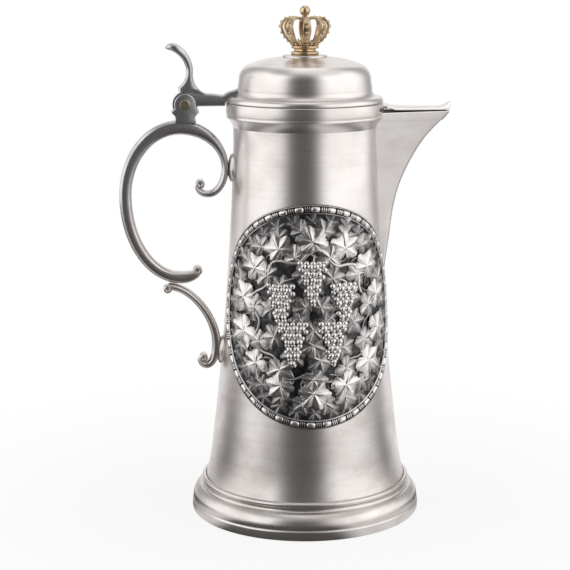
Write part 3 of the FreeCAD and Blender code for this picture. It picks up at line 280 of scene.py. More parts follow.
def pick(piece):
    """Makes a piece the only one that is selected."""
    clear_selection()
    bpy.context.view_layer.objects.active = piece
    piece.select_set(True)


def edit(piece):
    pick(piece)
    bpy.ops.object.mode_set(mode="EDIT")
    bpy.ops.mesh.select_all(action="SELECT")


def closed_up(piece, fill=False):
    """Merges seams and poles, closes open ends and turns the faces outwards."""
    edit(piece)
    bpy.ops.mesh.remove_doubles(threshold=MERGE)
    bpy.ops.mesh.dissolve_degenerate(threshold=MERGE / 2)
    if fill:
        bpy.ops.mesh.select_all(action="SELECT")
        bpy.ops.mesh.fill_holes(sides=0)
    bpy.ops.mesh.select_all(action="SELECT")
    bpy.ops.mesh.normals_make_consistent(inside=False)
    bpy.ops.object.mode_set(mode="OBJECT")
    return piece


def drawn_edge(points):
    """A chain of edges, drawn point after point, left selected in edit mode."""
    clear_selection()
    bpy.ops.mesh.primitive_plane_add(size=MM)
    piece = bpy.context.object
    bpy.ops.object.mode_set(mode="EDIT")
    bpy.ops.mesh.select_all(action="SELECT")
    bpy.ops.mesh.merge(type="CENTER")
    places = [Vector(point) * MM for point in points]
    bpy.ops.transform.translate(value=places[0])
    for here, there in zip(places, places[1:]):
        bpy.ops.mesh.extrude_vertices_move(TRANSFORM_OT_translate={"value": there - here})
    bpy.ops.mesh.select_all(action="SELECT")
    return piece


def spun(points, steps=160, closed=True):
    """A turned piece from a line of (radius, height) points."""
    line = [(radius, 0.0, height) for radius, height in points]
    if closed:
        line.append(line[0])
    piece = drawn_edge(line)
    bpy.ops.mesh.spin(steps=steps, angle=2 * math.pi, center=(0, 0, 0), axis=(0, 0, 1))
    return closed_up(piece)


def spun_across(x, z, points, steps=40):
    """A turned piece about an axis along Y, from a line of (radius, y) points that starts and ends on it."""
    piece = drawn_edge([(x + radius, y, z) for radius, y in points])
    bpy.ops.mesh.spin(steps=steps, angle=2 * math.pi, center=(x * MM, 0, z * MM), axis=(0, 1, 0))
    return closed_up(piece)


def laid_grid(columns, rows, place, fill=False):
    """A grid whose corners are laid where place(u, v) says, with its seams closed."""
    clear_selection()
    bpy.ops.mesh.primitive_grid_add(x_subdivisions=columns, y_subdivisions=rows, size=1)
    piece = bpy.context.object
    for vertex in piece.data.vertices:
        vertex.co = Vector(place(vertex.co.x + 0.5, vertex.co.y + 0.5)) * MM
    return closed_up(piece, fill)


def bar_section(half_thick, half_width, chamfer):
    """Corners of a chamfered bar with eased edges, and a point in the middle of each side face."""
    chamfer = min(chamfer, half_thick * 0.8, half_width * 0.8)
    ease = chamfer * 0.3
    corners = []
    for thick_sign, wide_sign, order in ((1, 1, 0), (-1, 1, 1), (-1, -1, 0), (1, -1, 1)):
        flat_end = (thick_sign * half_thick, wide_sign * (half_width - chamfer))
        side_end = (thick_sign * (half_thick - chamfer), wide_sign * half_width)
        run = [(flat_end[0], flat_end[1] - wide_sign * ease),
               (flat_end[0] - thick_sign * ease * 0.7, flat_end[1] + wide_sign * ease * 0.7),
               (side_end[0] + thick_sign * ease * 0.7, side_end[1] - wide_sign * ease * 0.7),
               (side_end[0] - thick_sign * ease, side_end[1])]
        corners.extend(run if order == 0 else reversed(run))
        if order == 0:
            corners.append((0.0, wide_sign * half_width))
    return corners


def bar_between(first_line, second_line, half_width, chamfer, rows=64, matched=False):
    """A bar between two lines of (x, z) points in the side view, as wide as half_width(share) says.

    The points of matched lines belong together in pairs. Other lines are divided into rows."""
    least = 0.02
    count = len(bar_section(1.0, 1.0, 0.2))
    if matched:
        rows = len(first_line) - 1

    def place(u, v):
        if matched:
            index = int(round(v * rows))
            low, high = Vector(first_line[index]), Vector(second_line[index])
        else:
            low, high = Vector(along(first_line, v)), Vector(along(second_line, v))
        middle = (low + high) / 2
        across = high - low
        thick = across.length / 2
        if thick > 1e-6:
            across.normalize()
        section = bar_section(max(thick, least), max(half_width(v), least), chamfer)
        offset, wide = section[int(round(u * count)) % count]
        point = middle + across * offset
        return point.x, wide, point.y

    return laid_grid(count, rows, place, fill=True)


def extruded(outline, x, y, z):
    """A closed outline of points, filled and drawn out by x, y and z."""
    piece = drawn_edge(outline + outline[:1])
    bpy.ops.mesh.remove_doubles(threshold=MERGE)
    bpy.ops.mesh.edge_face_add()
    bpy.ops.mesh.select_all(action="SELECT")
    bpy.ops.mesh.extrude_region_move(TRANSFORM_OT_translate={"value": (x * MM, y * MM, z * MM)})
    return closed_up(piece)


def plate_from(points, y_low, y_high, bevel):
    """A flat plate with an outline of (x, z) points, between two levels of Y, its edges bevelled."""
    piece = extruded([(x, y_low, z) for x, z in points], 0.0, y_high - y_low, 0.0)
    add_bevel(piece, bevel)
    return piece


def ball(segments, rings, radius):
    """A small ball at the origin, to be copied."""
    clear_selection()
    bpy.ops.mesh.primitive_uv_sphere_add(segments=segments, ring_count=rings, radius=radius * MM)
    return bpy.context.object


def apply_modifiers(piece):
    pick(piece)
    for modifier in list(piece.modifiers):
        bpy.ops.object.modifier_apply(modifier=modifier.name)


def add_bevel(piece, width, angle=35):
    """Rounds the edges that are sharper than an angle in degrees."""
    modifier = piece.modifiers.new("edges", "BEVEL")
    modifier.width = width * MM
    modifier.segments = 3
    modifier.limit_method = "ANGLE"
    modifier.angle_limit = math.radians(angle)
    apply_modifiers(piece)


def add_wall(piece, thickness):
    """Gives a sheet its thickness, inwards."""
    modifier = piece.modifiers.new("wall", "SOLIDIFY")
    modifier.thickness = thickness * MM
    modifier.offset = -1
    modifier.use_even_offset = True
    apply_modifiers(piece)


def remove(piece):
    bpy.data.objects.remove(piece, do_unlink=True)


def cut_away(piece, tool):
    """Cuts a tool out of a piece and deletes the tool."""
    modifier = piece.modifiers.new("cut", "BOOLEAN")
    modifier.operation = "DIFFERENCE"
    modifier.solver = "EXACT"
    modifier.object = tool
    apply_modifiers(piece)
    remove(tool)


def block(low, high):
    """A box between two corners, used only as a cutting tool."""
    clear_selection()
    middle = [(a + b) / 2 * MM for a, b in zip(low, high)]
    bpy.ops.mesh.primitive_cube_add(size=1, location=middle)
    tool = bpy.context.object
    tool.scale = [(b - a) * MM for a, b in zip(low, high)]
    bpy.ops.object.transform_apply(location=True, rotation=True, scale=True)
    return tool


def copied(piece, move):
    """A copy with a mesh of its own, its points moved by a function of a point in millimetres."""
    twin = piece.copy()
    twin.data = piece.data.copy()
    bpy.context.collection.objects.link(twin)
    for vertex in twin.data.vertices:
        vertex.co = Vector(move(vertex.co / MM)) * MM
    return twin


def turned_copy(piece, angle):
    """A copy turned about the jug's axis."""
    turn = Matrix.Rotation(angle, 3, "Z")
    return copied(piece, lambda point: turn @ point)


def joined(pieces):
    clear_selection()
    for piece in pieces:
        piece.select_set(True)
    bpy.context.view_layer.objects.active = pieces[0]
    bpy.ops.object.join()
    return bpy.context.object


def finished(piece, name, body, slot, nodes, angle=38):
    """Names a piece, smooths it, gives it its finish and ties it to the frame."""
    pick(piece)
    bpy.ops.object.transform_apply(location=True, rotation=True, scale=True)
    bpy.ops.object.shade_smooth_by_angle(angle=math.radians(angle))
    piece.name = name
    piece.data.name = name
    piece.data.materials.clear()
    piece.data.materials.append(bpy.data.materials[slot])
    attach(piece, body)
    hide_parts(*nodes)
    if not piece.data.polygons:
        raise RuntimeError(f"{name} came out empty")
    return piece


# Materials

class Shade:
    """A socket of a node tree, with arithmetic."""

    def __init__(self, tree, socket):
        self.tree = tree
        self.socket = socket

    def node(self, kind, settings=None, output=0, **sockets):
        """Adds any node: its settings are set first, then its sockets by name, or by number as i0 or i1."""
        made = self.tree.nodes.new(kind)
        for name, value in (settings or {}).items():
            setattr(made, name, value)
        for name, value in sockets.items():
            key = int(name[1:]) if name[0] == "i" and name[1:].isdigit() else name.replace("_", " ")
            target = made.inputs[key]
            if isinstance(value, Shade):
                self.tree.links.new(value.socket, target)
            else:
                target.default_value = value
        return Shade(self.tree, made.outputs[output])

    def maths(self, operation, other=None):
        """A Math node on this value, and on another one where the operation takes two."""
        inputs = {"i0": self}
        if other is not None:
            inputs["i1"] = other
        return self.node("ShaderNodeMath", {"operation": operation}, **inputs)

    def __add__(self, other):
        return self.maths("ADD", other)

    __radd__ = __add__

    def __mul__(self, other):
        return self.maths("MULTIPLY", other)

    __rmul__ = __mul__

    def __sub__(self, other):
        return self.maths("SUBTRACT", other)

    def __rsub__(self, other):
        return self.node("ShaderNodeMath", {"operation": "SUBTRACT"}, i0=other, i1=self)

    def __truediv__(self, other):
        return self.maths("DIVIDE", other)

    def __pow__(self, other):
        return self.maths("POWER", other)

    def ramp(self, low, high):
        """0 under low, 1 over high, smooth between."""
        return self.node("ShaderNodeMapRange", {"interpolation_type": "SMOOTHSTEP"},
                         Value=self, From_Min=low, From_Max=high)

    def mix(self, first, second):
        """A colour between two colours, with this value as the share."""
        return self.node("ShaderNodeMix", {"data_type": "RGBA"}, 2, i0=self, i6=first, i7=second)

    def parts(self):
        """The x, y and z of this position."""
        made = self.tree.nodes.new("ShaderNodeSeparateXYZ")
        self.tree.links.new(self.socket, made.inputs[0])
        return [Shade(self.tree, output) for output in made.outputs]

    def stretched(self, x, y, z):
        """This position scaled along each axis."""
        return self.node("ShaderNodeMapping", Vector=self, Scale=(x, y, z))

    def noise(self, scale, detail=3.0, roughness=0.55):
        return self.node("ShaderNodeTexNoise", Vector=self, Scale=scale, Detail=detail, Roughness=roughness)

    def bump(self, strength, distance):
        """A normal bent by this height."""
        return self.node("ShaderNodeBump", Strength=strength, Distance=distance, Height=self)


def start_shading(owner, output, coordinates):
    """Empties the node tree of a material or a world: its output's socket, and the position to shade by."""
    owner.use_nodes = True
    tree = owner.node_tree
    tree.nodes.clear()
    end = tree.nodes.new(output).inputs[0]
    return end, Shade(tree, tree.nodes.new("ShaderNodeTexCoord").outputs[coordinates])


def new_metal(name):
    """A new metal: its position to shade by, and its shader."""
    material = bpy.data.materials.get(name) or bpy.data.materials.new(name)
    end, place = start_shading(material, "ShaderNodeOutputMaterial", "Object")
    shader = place.tree.nodes.new("ShaderNodeBsdfPrincipled")
    shader.inputs["Metallic"].default_value = 1.0
    place.tree.links.new(shader.outputs[0], end)
    return place, shader


def link(shader, name, value):
    """Feeds a value to a shader's socket."""
    value.tree.links.new(value.socket, shader.inputs[name])


def rgba(value):
    """A colour with its alpha."""
    return tuple(value) + (1.0,)


def axis_radius(place):
    """Distance of a position from the jug's axis."""
    x, y, _ = place.parts()
    return (x * x + y * y) ** 0.5


def scratches(place, scale, turn):
    """Faint straight scratches, 1 on a scratch."""
    turned = place.node("ShaderNodeMapping", Vector=place, Rotation=turn, Scale=(scale, scale * 0.02, scale))
    return turned.noise(1.0, 1.0).ramp(0.70, 0.76)


def make_satin_silver(colours):
    """Spun silver plate: fine level lines, dull patches, stains at the foot and neck, a few scratches."""
    place, shader = new_metal("satin_silver")
    lines = place.stretched(6.0, 6.0, 2600.0).noise(1.0, 2.0)
    broad = place.stretched(3.0, 3.0, 420.0).noise(1.0, 3.0)
    patches = place.noise(26.0, 5.0)
    dents = place.noise(15.0, 1.0)
    marks = scratches(place, 900.0, (0.5, 0.3, 0.9)) + scratches(place, 760.0, (1.1, 0.2, 2.2))
    tint = patches.ramp(0.35, 0.72) * 0.55 + broad.ramp(0.4, 0.8) * 0.25
    plate = tint.mix(rgba(colours.silver), rgba(colours.silver_shade))
    _, _, height = place.parts()
    low_part = 1 - height.ramp(0.05, 0.15)
    neck_part = height.ramp(0.22, 0.27) * (1 - height.ramp(0.275, 0.285))
    smudges = place.stretched(30.0, 30.0, 64.0).noise(1.0, 8.0, 0.62).ramp(0.36, 0.78)
    stain = smudges * (low_part * 0.42 + neck_part * 0.25 + 0.06)
    link(shader, "Base Color", stain.mix(plate, rgba(colours.silver_stain)))
    link(shader, "Roughness", lines * 0.06 + patches * 0.12 + marks * 0.05 + stain * 0.10 + 0.20)
    relief = lines * 0.4 + broad * 0.3 - marks * 0.35 + dents * 60.0
    link(shader, "Normal", relief.bump(0.06, 0.0002))


def make_cast_silver(colours):
    """Cast and filed silver: darker, tarnished in patches, warmer towards its lower end."""
    place, shader = new_metal("cast_silver")
    grain = place.noise(420.0, 4.0)
    patches = place.noise(48.0, 4.0)
    file_lines = place.stretched(500.0, 40.0, 500.0).noise(1.0, 2.0)
    tarnish = patches.ramp(0.38, 0.72) * 0.75 + grain.ramp(0.5, 0.8) * 0.10
    _, _, height = place.parts()
    # Lighter and warmer towards the lower end, by height alone.
    lower = (1 - height.ramp(0.15, 0.27)) * 0.55
    aged = tarnish.mix(rgba(colours.cast), rgba(colours.cast_shade))
    link(shader, "Base Color", lower.mix(aged, rgba(colours.cast_warm)))
    link(shader, "Roughness", tarnish * 0.10 + grain * 0.04 + 0.245)
    link(shader, "Normal", (grain * 0.3 + file_lines * 0.4).bump(0.03, 0.0003))


def make_oxidised_silver(colours):
    """Relief silver: black in the ground, rubbed bright on what stands out from the wall."""
    place, shader = new_metal("oxidised_silver")
    size = bpy.context.scene.jug_sizes
    low, high = size.flare_height, size.neck_height
    x, y, height = place.parts()
    share = (height - low) / (high - low)
    taper = share * (size.neck_radius - size.flare_radius) + size.flare_radius
    wall = taper - share * (1 - share) * (4 * size.wall_hollow)
    radius = axis_radius(place)
    rise = (radius - wall) / MM
    grain = place.noise(900.0, 4.0)
    patches = place.noise(120.0, 4.0)
    across = x.maths("ARCTAN2", y * -1) * radius / size.medallion_half_width
    up = (height - size.medallion_height) / size.medallion_half_height
    edge = (across * across + up * up).ramp(0.80, 0.88)
    rubbed = rise * (edge * 0.8 + 1) + grain * 0.8 + patches * 1.4 - edge * 1.2 - 1.1
    worn = rubbed.ramp(0.8, 4.1) ** 1.35
    link(shader, "Base Color", worn.mix(rgba(colours.relief_dark), rgba(colours.relief_light)))
    link(shader, "Roughness", 0.36 - worn * 0.14 + grain * 0.08)
    link(shader, "Normal", (grain * 0.5 + patches * 0.6).bump(0.16, 0.0004))


def make_gilt(colours):
    """Old gilding with brown deposits in its hollows."""
    place, shader = new_metal("gilt")
    grain = place.noise(1500.0, 4.0)
    patches = place.noise(260.0, 4.0)
    dirt = patches.ramp(0.40, 0.72) * 0.6
    link(shader, "Base Color", dirt.mix(rgba(colours.gilt), rgba(colours.gilt_shade)))
    link(shader, "Roughness", dirt * 0.2 + 0.24)
    link(shader, "Normal", (grain * 0.3 + patches * 0.5).bump(0.06, 0.0002))


def make_brass(colours):
    """Dull brass."""
    place, shader = new_metal("pin_brass")
    grain = place.noise(1400.0, 4.0)
    patches = place.noise(240.0, 3.0)
    dull = patches.ramp(0.35, 0.7)
    dark = tuple(value * 0.55 for value in colours.brass)
    link(shader, "Base Color", dull.mix(rgba(colours.brass), rgba(dark)))
    link(shader, "Roughness", dull * 0.15 + grain * 0.1 + 0.25)
    link(shader, "Normal", grain.bump(0.15, 0.0003))


class JUG_OT_finishes(bpy.types.Operator):
    """Make the jug's materials"""
    bl_idname = "jug.finishes"
    bl_label = "Finishes"

    def execute(self, context):
        colours = context.scene.jug_colours
        make_satin_silver(colours)
        make_cast_silver(colours)
        make_oxidised_silver(colours)
        make_gilt(colours)
        make_brass(colours)
        for node in ("base_plate", "finial_stud", "finial_washer", "finial_nut", "lid_bezel"):
            slot = "pin_brass" if node.startswith("finial") else "satin_silver"
            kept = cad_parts[node]
            kept.data.materials.clear()
            kept.data.materials.append(bpy.data.materials[slot])
        return {"FINISHED"}


# Body of the jug

def wall_line(inset):
    """Corners of the wall from the seam up to the mouth, set in from the outside."""
    size = bpy.context.scene.jug_sizes
    base = size.base_radius / MM - inset
    flare = size.flare_radius / MM - inset
    neck = size.neck_radius / MM - inset
    seam, flare_z = size.foot_height / MM, size.flare_height / MM
    neck_z, top = size.neck_height / MM, size.mouth_height / MM
    sag, rows = 0.5, 40
    line = drawn([(base, seam, ((base + flare) / 2 - sag, (seam + flare_z) / 2)), (flare, flare_z)], 8)
    for row in range(1, rows + 1):
        height = flare_z + (neck_z - flare_z) * (row / rows)
        line.append((wall_radius(height) - inset, height))
    return line + [(neck, top)]


def spout_outline(share, grow):
    """Plan of the spout at a share of its height, from one root round the nose to the other."""
    size = bpy.context.scene.jug_sizes
    foot, top = size.spout_foot / MM, size.spout_top / MM
    height = foot + (top - foot) * share
    radius = wall_radius(min(height, size.neck_height / MM))
    foot_half, sunk, steps = 0.9, 0.9, 9
    half = foot_half + (size.spout_half_width / MM - foot_half) * share ** 1.6 + grow
    nose = max(0.77 + 1.43 * share + grow, 0.15 * half)
    reach = size.spout_reach / MM - size.neck_radius / MM
    tip = radius + reach * keel(share) + 1.15 * grow
    root = math.sqrt(radius ** 2 - half ** 2) - sunk
    opening = math.radians(72)
    side = (tip - nose + nose * math.cos(opening), nose * math.sin(opening))
    run = []
    for step in range(steps + 1):
        run.append((root + (side[0] - root) * step / steps, half + (side[1] - half) * step / steps))
    bow = arc(side, (tip, 0.0), (side[0], -side[1]), 10)
    points = run + bow + [(x, -y) for x, y in reversed(run[:-1])]
    return [(x, y, height) for x, y in points]


# Line of the spout's keel: shares of its height and of its reach
KEEL = ((0.0, 0.02), (0.22, 0.117), (0.37, 0.179), (0.52, 0.274), (0.67, 0.43), (0.82, 0.641), (0.90, 0.795),
        (0.96, 0.93), (1.0, 1.0))


def keel(share):
    """Reach of the keel at a share of the spout's height, smooth through its stations."""
    count = len(KEEL)
    for index in range(count - 1):
        low, high = KEEL[index], KEEL[index + 1]
        if share <= high[0] or index == count - 2:
            before = KEEL[max(index - 1, 0)]
            after = KEEL[min(index + 2, count - 1)]
            run = high[0] - low[0]
            slope_low = (high[1] - before[1]) / (high[0] - before[0]) * run
            slope_high = (after[1] - low[1]) / (after[0] - low[0]) * run
            t = (share - low[0]) / run
            return ((2 * t ** 3 - 3 * t ** 2 + 1) * low[1] + (t ** 3 - 2 * t ** 2 + t) * slope_low
                    + (3 * t ** 2 - 2 * t ** 3) * high[1] + (t ** 3 - t ** 2) * slope_high)
    return 1.0


def spout_sheet(low, high, grow, rows):
    """The spout's outside between two shares of its height."""
    lines = [spout_outline(low + (high - low) * row / rows, grow) for row in range(rows + 1)]
    columns = len(lines[0]) - 1

    def place(u, v):
        return lines[int(round(v * rows))][int(round(u * columns))]

    return laid_grid(columns, rows, place)


def mouth_notch():
    """A block over the spout's side of the rim, used to cut the notch for the cover's seat."""
    top = bpy.context.scene.jug_sizes.mouth_height / MM
    inner, outer, half_width, depth, clear = 20.0, 80.0, 24.5, 4.9, 20.0
    return block((inner, -half_width, top - depth), (outer, half_width, top + clear))


def spout_channel():
    """The solid of the spout's inside, carried into the jug and up past the mouth, used as a cutting tool."""
    size = bpy.context.scene.jug_sizes
    rows, inner, spare, clear = 33, 30.0, 0.2, 15.0
    loops = []
    for row in range(rows + 1):
        line = spout_outline(0.34 + 0.66 * row / rows, -size.spout_wall / MM - spare)
        height = line[0][2] if row < rows else size.mouth_height / MM + clear
        corners = [(inner, line[0][1])] + [(x, y) for x, y, _ in line] + [(inner, line[-1][1])]
        loops.append([(x, y, height) for x, y in corners])
    count = len(loops[0])

    def place(u, v):
        return loops[int(round(v * rows))][int(round(u * count)) % count]

    return laid_grid(count, rows, place, fill=True)


class JUG_OT_body(bpy.types.Operator):
    """Turn the foot, bead, wall and rim"""
    bl_idname = "jug.body"
    bl_label = "Body"

    def execute(self, context):
        size = context.scene.jug_sizes
        foot, seam, base = size.foot_radius / MM, size.foot_height / MM, size.base_radius / MM
        outside = drawn([
            (foot - 0.5, 0.0), (foot, 0.5), (foot, 6.2), (foot - 0.5, 6.9), (foot - 0.9, 7.0, -0.17),
            (foot - 5.6, seam - 3.1), (foot - 6.2, seam - 2.9, 0.25), (base + 1.0, seam)], 12)
        inside = [(base - 7.6, seam), (base - 7.6, seam - 2.2), (foot - 8.6, seam - 4.4),
                  (foot - 3.4, 8.6), (foot - 3.0, 0.0)]
        foot_piece = spun(eased(outside + inside, 0.4))
        finished(foot_piece, "foot_moulding", "jug", "satin_silver", ["foot_ring"])
        wire = size.bead_wire / MM
        bead = drawn([
            (base + 0.1, seam, (base + wire, seam + wire * 0.95)), (base - 0.55, seam + wire * 2)], 16)
        bead.append((base - 1.0, seam + wire))
        finished(spun(bead), "seam_bead", "jug", "satin_silver", ["foot_bead"])
        wall = spun(wall_line(0.0) + list(reversed(wall_line(size.wall / MM))), 224)
        cut_away(wall, spout_channel())
        cut_away(wall, mouth_notch())
        finished(wall, "spun_wall", "jug", "satin_silver", ["body_wall"], angle=30)
        neck, top, rim = size.neck_radius / MM, size.mouth_height / MM, size.rim_radius / MM
        band = eased(drawn([
            (neck - 0.3, size.neck_height / MM + 1.5, 0.14), (rim - 0.8, top - 10.7), (rim - 0.3, top - 10.1),
            (rim - 0.3, top - 8.7), (rim - 0.75, top - 8.4), (rim - 0.75, top - 8.1), (rim, top - 7.7),
            (rim, top - 0.9, -0.2), (rim - 0.9, top), (neck - 0.3, top)], 12), 0.2)
        rim_band = spun(band, 224)
        cut_away(rim_band, mouth_notch())
        finished(rim_band, "rim_moulding", "jug", "satin_silver", ["rim_band"], angle=30)
        return {"FINISHED"}


class JUG_OT_spout(bpy.types.Operator):
    """Fold the spout and the strip round its edge"""
    bl_idname = "jug.spout"
    bl_label = "Spout"

    def execute(self, context):
        size = context.scene.jug_sizes
        strip_foot, strip_grow, strip_thick = 0.9455, 1.0, 1.2
        sheet = spout_sheet(0.0, 1.0, 0.0, 72)
        add_wall(sheet, size.spout_wall / MM)
        finished(sheet, "folded_spout", "jug", "satin_silver", ["spout"], angle=50)
        strip = spout_sheet(strip_foot, 1.0, strip_grow, 6)
        add_wall(strip, strip_thick)
        add_bevel(strip, 0.35, 60)
        finished(strip, "spout_strip", "jug", "satin_silver", ["spout_rim"], angle=50)
        return {"FINISHED"}


# Plaque on the front

BUNCHES = 5
VINE_WAVES = 9
TENDRILS = 18
# Rings of leaves: share of the plaque's radius, count, start in leaves, then size and lift in millimetres
LEAF_RINGS = (
    (0.925, 34, 0.0, 6.6, 1.2),
    (0.84, 24, 0.5, 8.4, 1.5),
    (0.735, 14, 0.0, 11.0, 2.2),
    (0.60, 11, 0.5, 10.0, 1.7),
    (0.42, 10, 0.25, 9.5, 1.4),
    (0.27, 6, 0.0, 9.0, 1.2),
    (0.12, 5, 0.5, 8.5, 1.3),
)
# Lobes of a leaf: angle from its tip in degrees, reach and width
LOBES = ((0.0, 1.0, 0.46), (62.0, 0.96, 0.44), (-62.0, 0.96, 0.44), (120.0, 0.86, 0.46), (-120.0, 0.86, 0.46))


def field():
    """Half width and half height of the plaque inside its border."""
    size = bpy.context.scene.jug_sizes
    border = size.border_width / MM
    return size.medallion_half_width / MM - border, size.medallion_half_height / MM - border


def flat_leaf(rows, columns, teeth_count):
    """A vine leaf of unit size in the plane, its tip along +Y, with veins, a crowned face and a skirt."""
    between_lobes, skirt = 0.68, -0.06

    def aside(angle, lobe):
        return math.radians((math.degrees(angle) - lobe + 180) % 360 - 180)

    def reach(angle):
        turn = math.degrees(angle)
        best = between_lobes
        for lobe, far, wide in LOBES:
            swell = math.exp(-(aside(angle, lobe) / wide) ** 2 * 1.6)
            best = max(best, between_lobes + (far - between_lobes) * swell)
        teeth = abs(math.sin(angle * teeth_count)) * 0.07
        notch = 0.3 * math.exp(-((abs(turn) - 180) / 12) ** 2)
        return best + teeth - notch

    def vein(angle, share):
        ridges = [math.exp(-(aside(angle, lobe) * share * 13) ** 2) for lobe, _, _ in LOBES]
        return max(ridges) * (1 - share * 0.6)

    def place(u, v):
        angle = (u - 0.5) * 2 * math.pi
        share = min(v * rows / (rows - 1), 1.0)
        far = reach(angle) * share
        side = 0.5 + 0.5 * math.cos(5.8 * angle)
        lift = 0.10 * (1 - share ** 2.2) + 0.04 + 0.045 * vein(angle, share) + 0.03 * share * side
        lift += 0.016 * math.sin(far * 40 + 5 * abs(angle)) * share + 0.02 * math.sin(angle * 9) * share ** 2
        if v > (rows - 0.5) / rows:
            lift = skirt
        return far * math.sin(angle), far * math.cos(angle), lift

    return laid_grid(columns, rows, place)


def laid_leaf(leaf, across, up, turn, size_mm, lift, tilt):
    """A copy of the flat leaf, sized, turned and wrapped on the plaque, its skirt let into the ground."""
    cos, sin = math.cos(turn), math.sin(turn)
    ground = 0.6

    def move(point):
        x, y, z = point
        a = across + size_mm * (x * cos - y * sin)
        b = up + size_mm * (x * sin + y * cos)
        rise = lift + size_mm * z + tilt * y * size_mm if z > -0.03 else ground
        return on_wall(a, b, rise)

    return copied(leaf, move)


def wrapped_stem(points, radius, lift, count=8):
    """A round stem through (across, up) points on the plaque."""
    rows = max(6, len(points) * 5)
    smooth_line = []
    for index in range(len(points) - 1):
        before = Vector(points[max(index - 1, 0)])
        here, there = Vector(points[index]), Vector(points[index + 1])
        after = Vector(points[min(index + 2, len(points) - 1)])
        for step in range(8):
            t = step / 8
            smooth_line.append(tuple(0.5 * (2 * here + (there - before) * t
                                            + (2 * before - 5 * here + 4 * there - after) * t ** 2
                                            + (3 * here - before - 3 * there + after) * t ** 3)))
    smooth_line.append(tuple(points[-1]))

    def place(u, v):
        here = Vector(along(smooth_line, v))
        _, normal = direction(smooth_line, max(v - 0.01, 0.0), min(v + 0.01, 1.0))
        thick = radius * (1.0 - 0.45 * v)
        angle = 2 * math.pi * u
        point = here + normal * (thick * math.cos(angle))
        return on_wall(point.x, point.y, lift + thick * 0.4 + thick * math.sin(angle))

    return laid_grid(count, rows, place, fill=True)


def grape_bunch(across, up, grape, chance):
    """Berries of a hanging bunch: rows that narrow downwards, and a second layer on top."""
    berries = []
    wide, tall = field()
    half_width, half_height = 0.155 * wide, 0.20 * tall
    rows, pitch, loose = 7, 4.0, 0.4
    for layer in (0, 1):
        for row in range(rows - layer):
            down = (row + 0.5 * layer) / (rows - 1)
            breadth = half_width * (1.0 - 0.85 * down ** 1.3) * (1.0 - 0.28 * layer)
            count = max(1, int(round(breadth * 2 / 4.1)))
            for index in range(count):
                a = across + (index - (count - 1) / 2) * pitch + chance.uniform(-loose, loose)
                b = up + half_height * (1 - 2 * down) + chance.uniform(-loose, loose)
                berries.append(laid_berry(grape, a, b, 2.0 + 1.2 * layer, chance.uniform(0.9, 1.08)))
    return berries


def laid_berry(grape, across, up, lift, scale):
    """A copy of the grape, set on the plaque."""
    def move(point):
        return on_wall(across + point.x * scale, up + point.y * scale, lift + point.z * scale)

    return copied(grape, move)


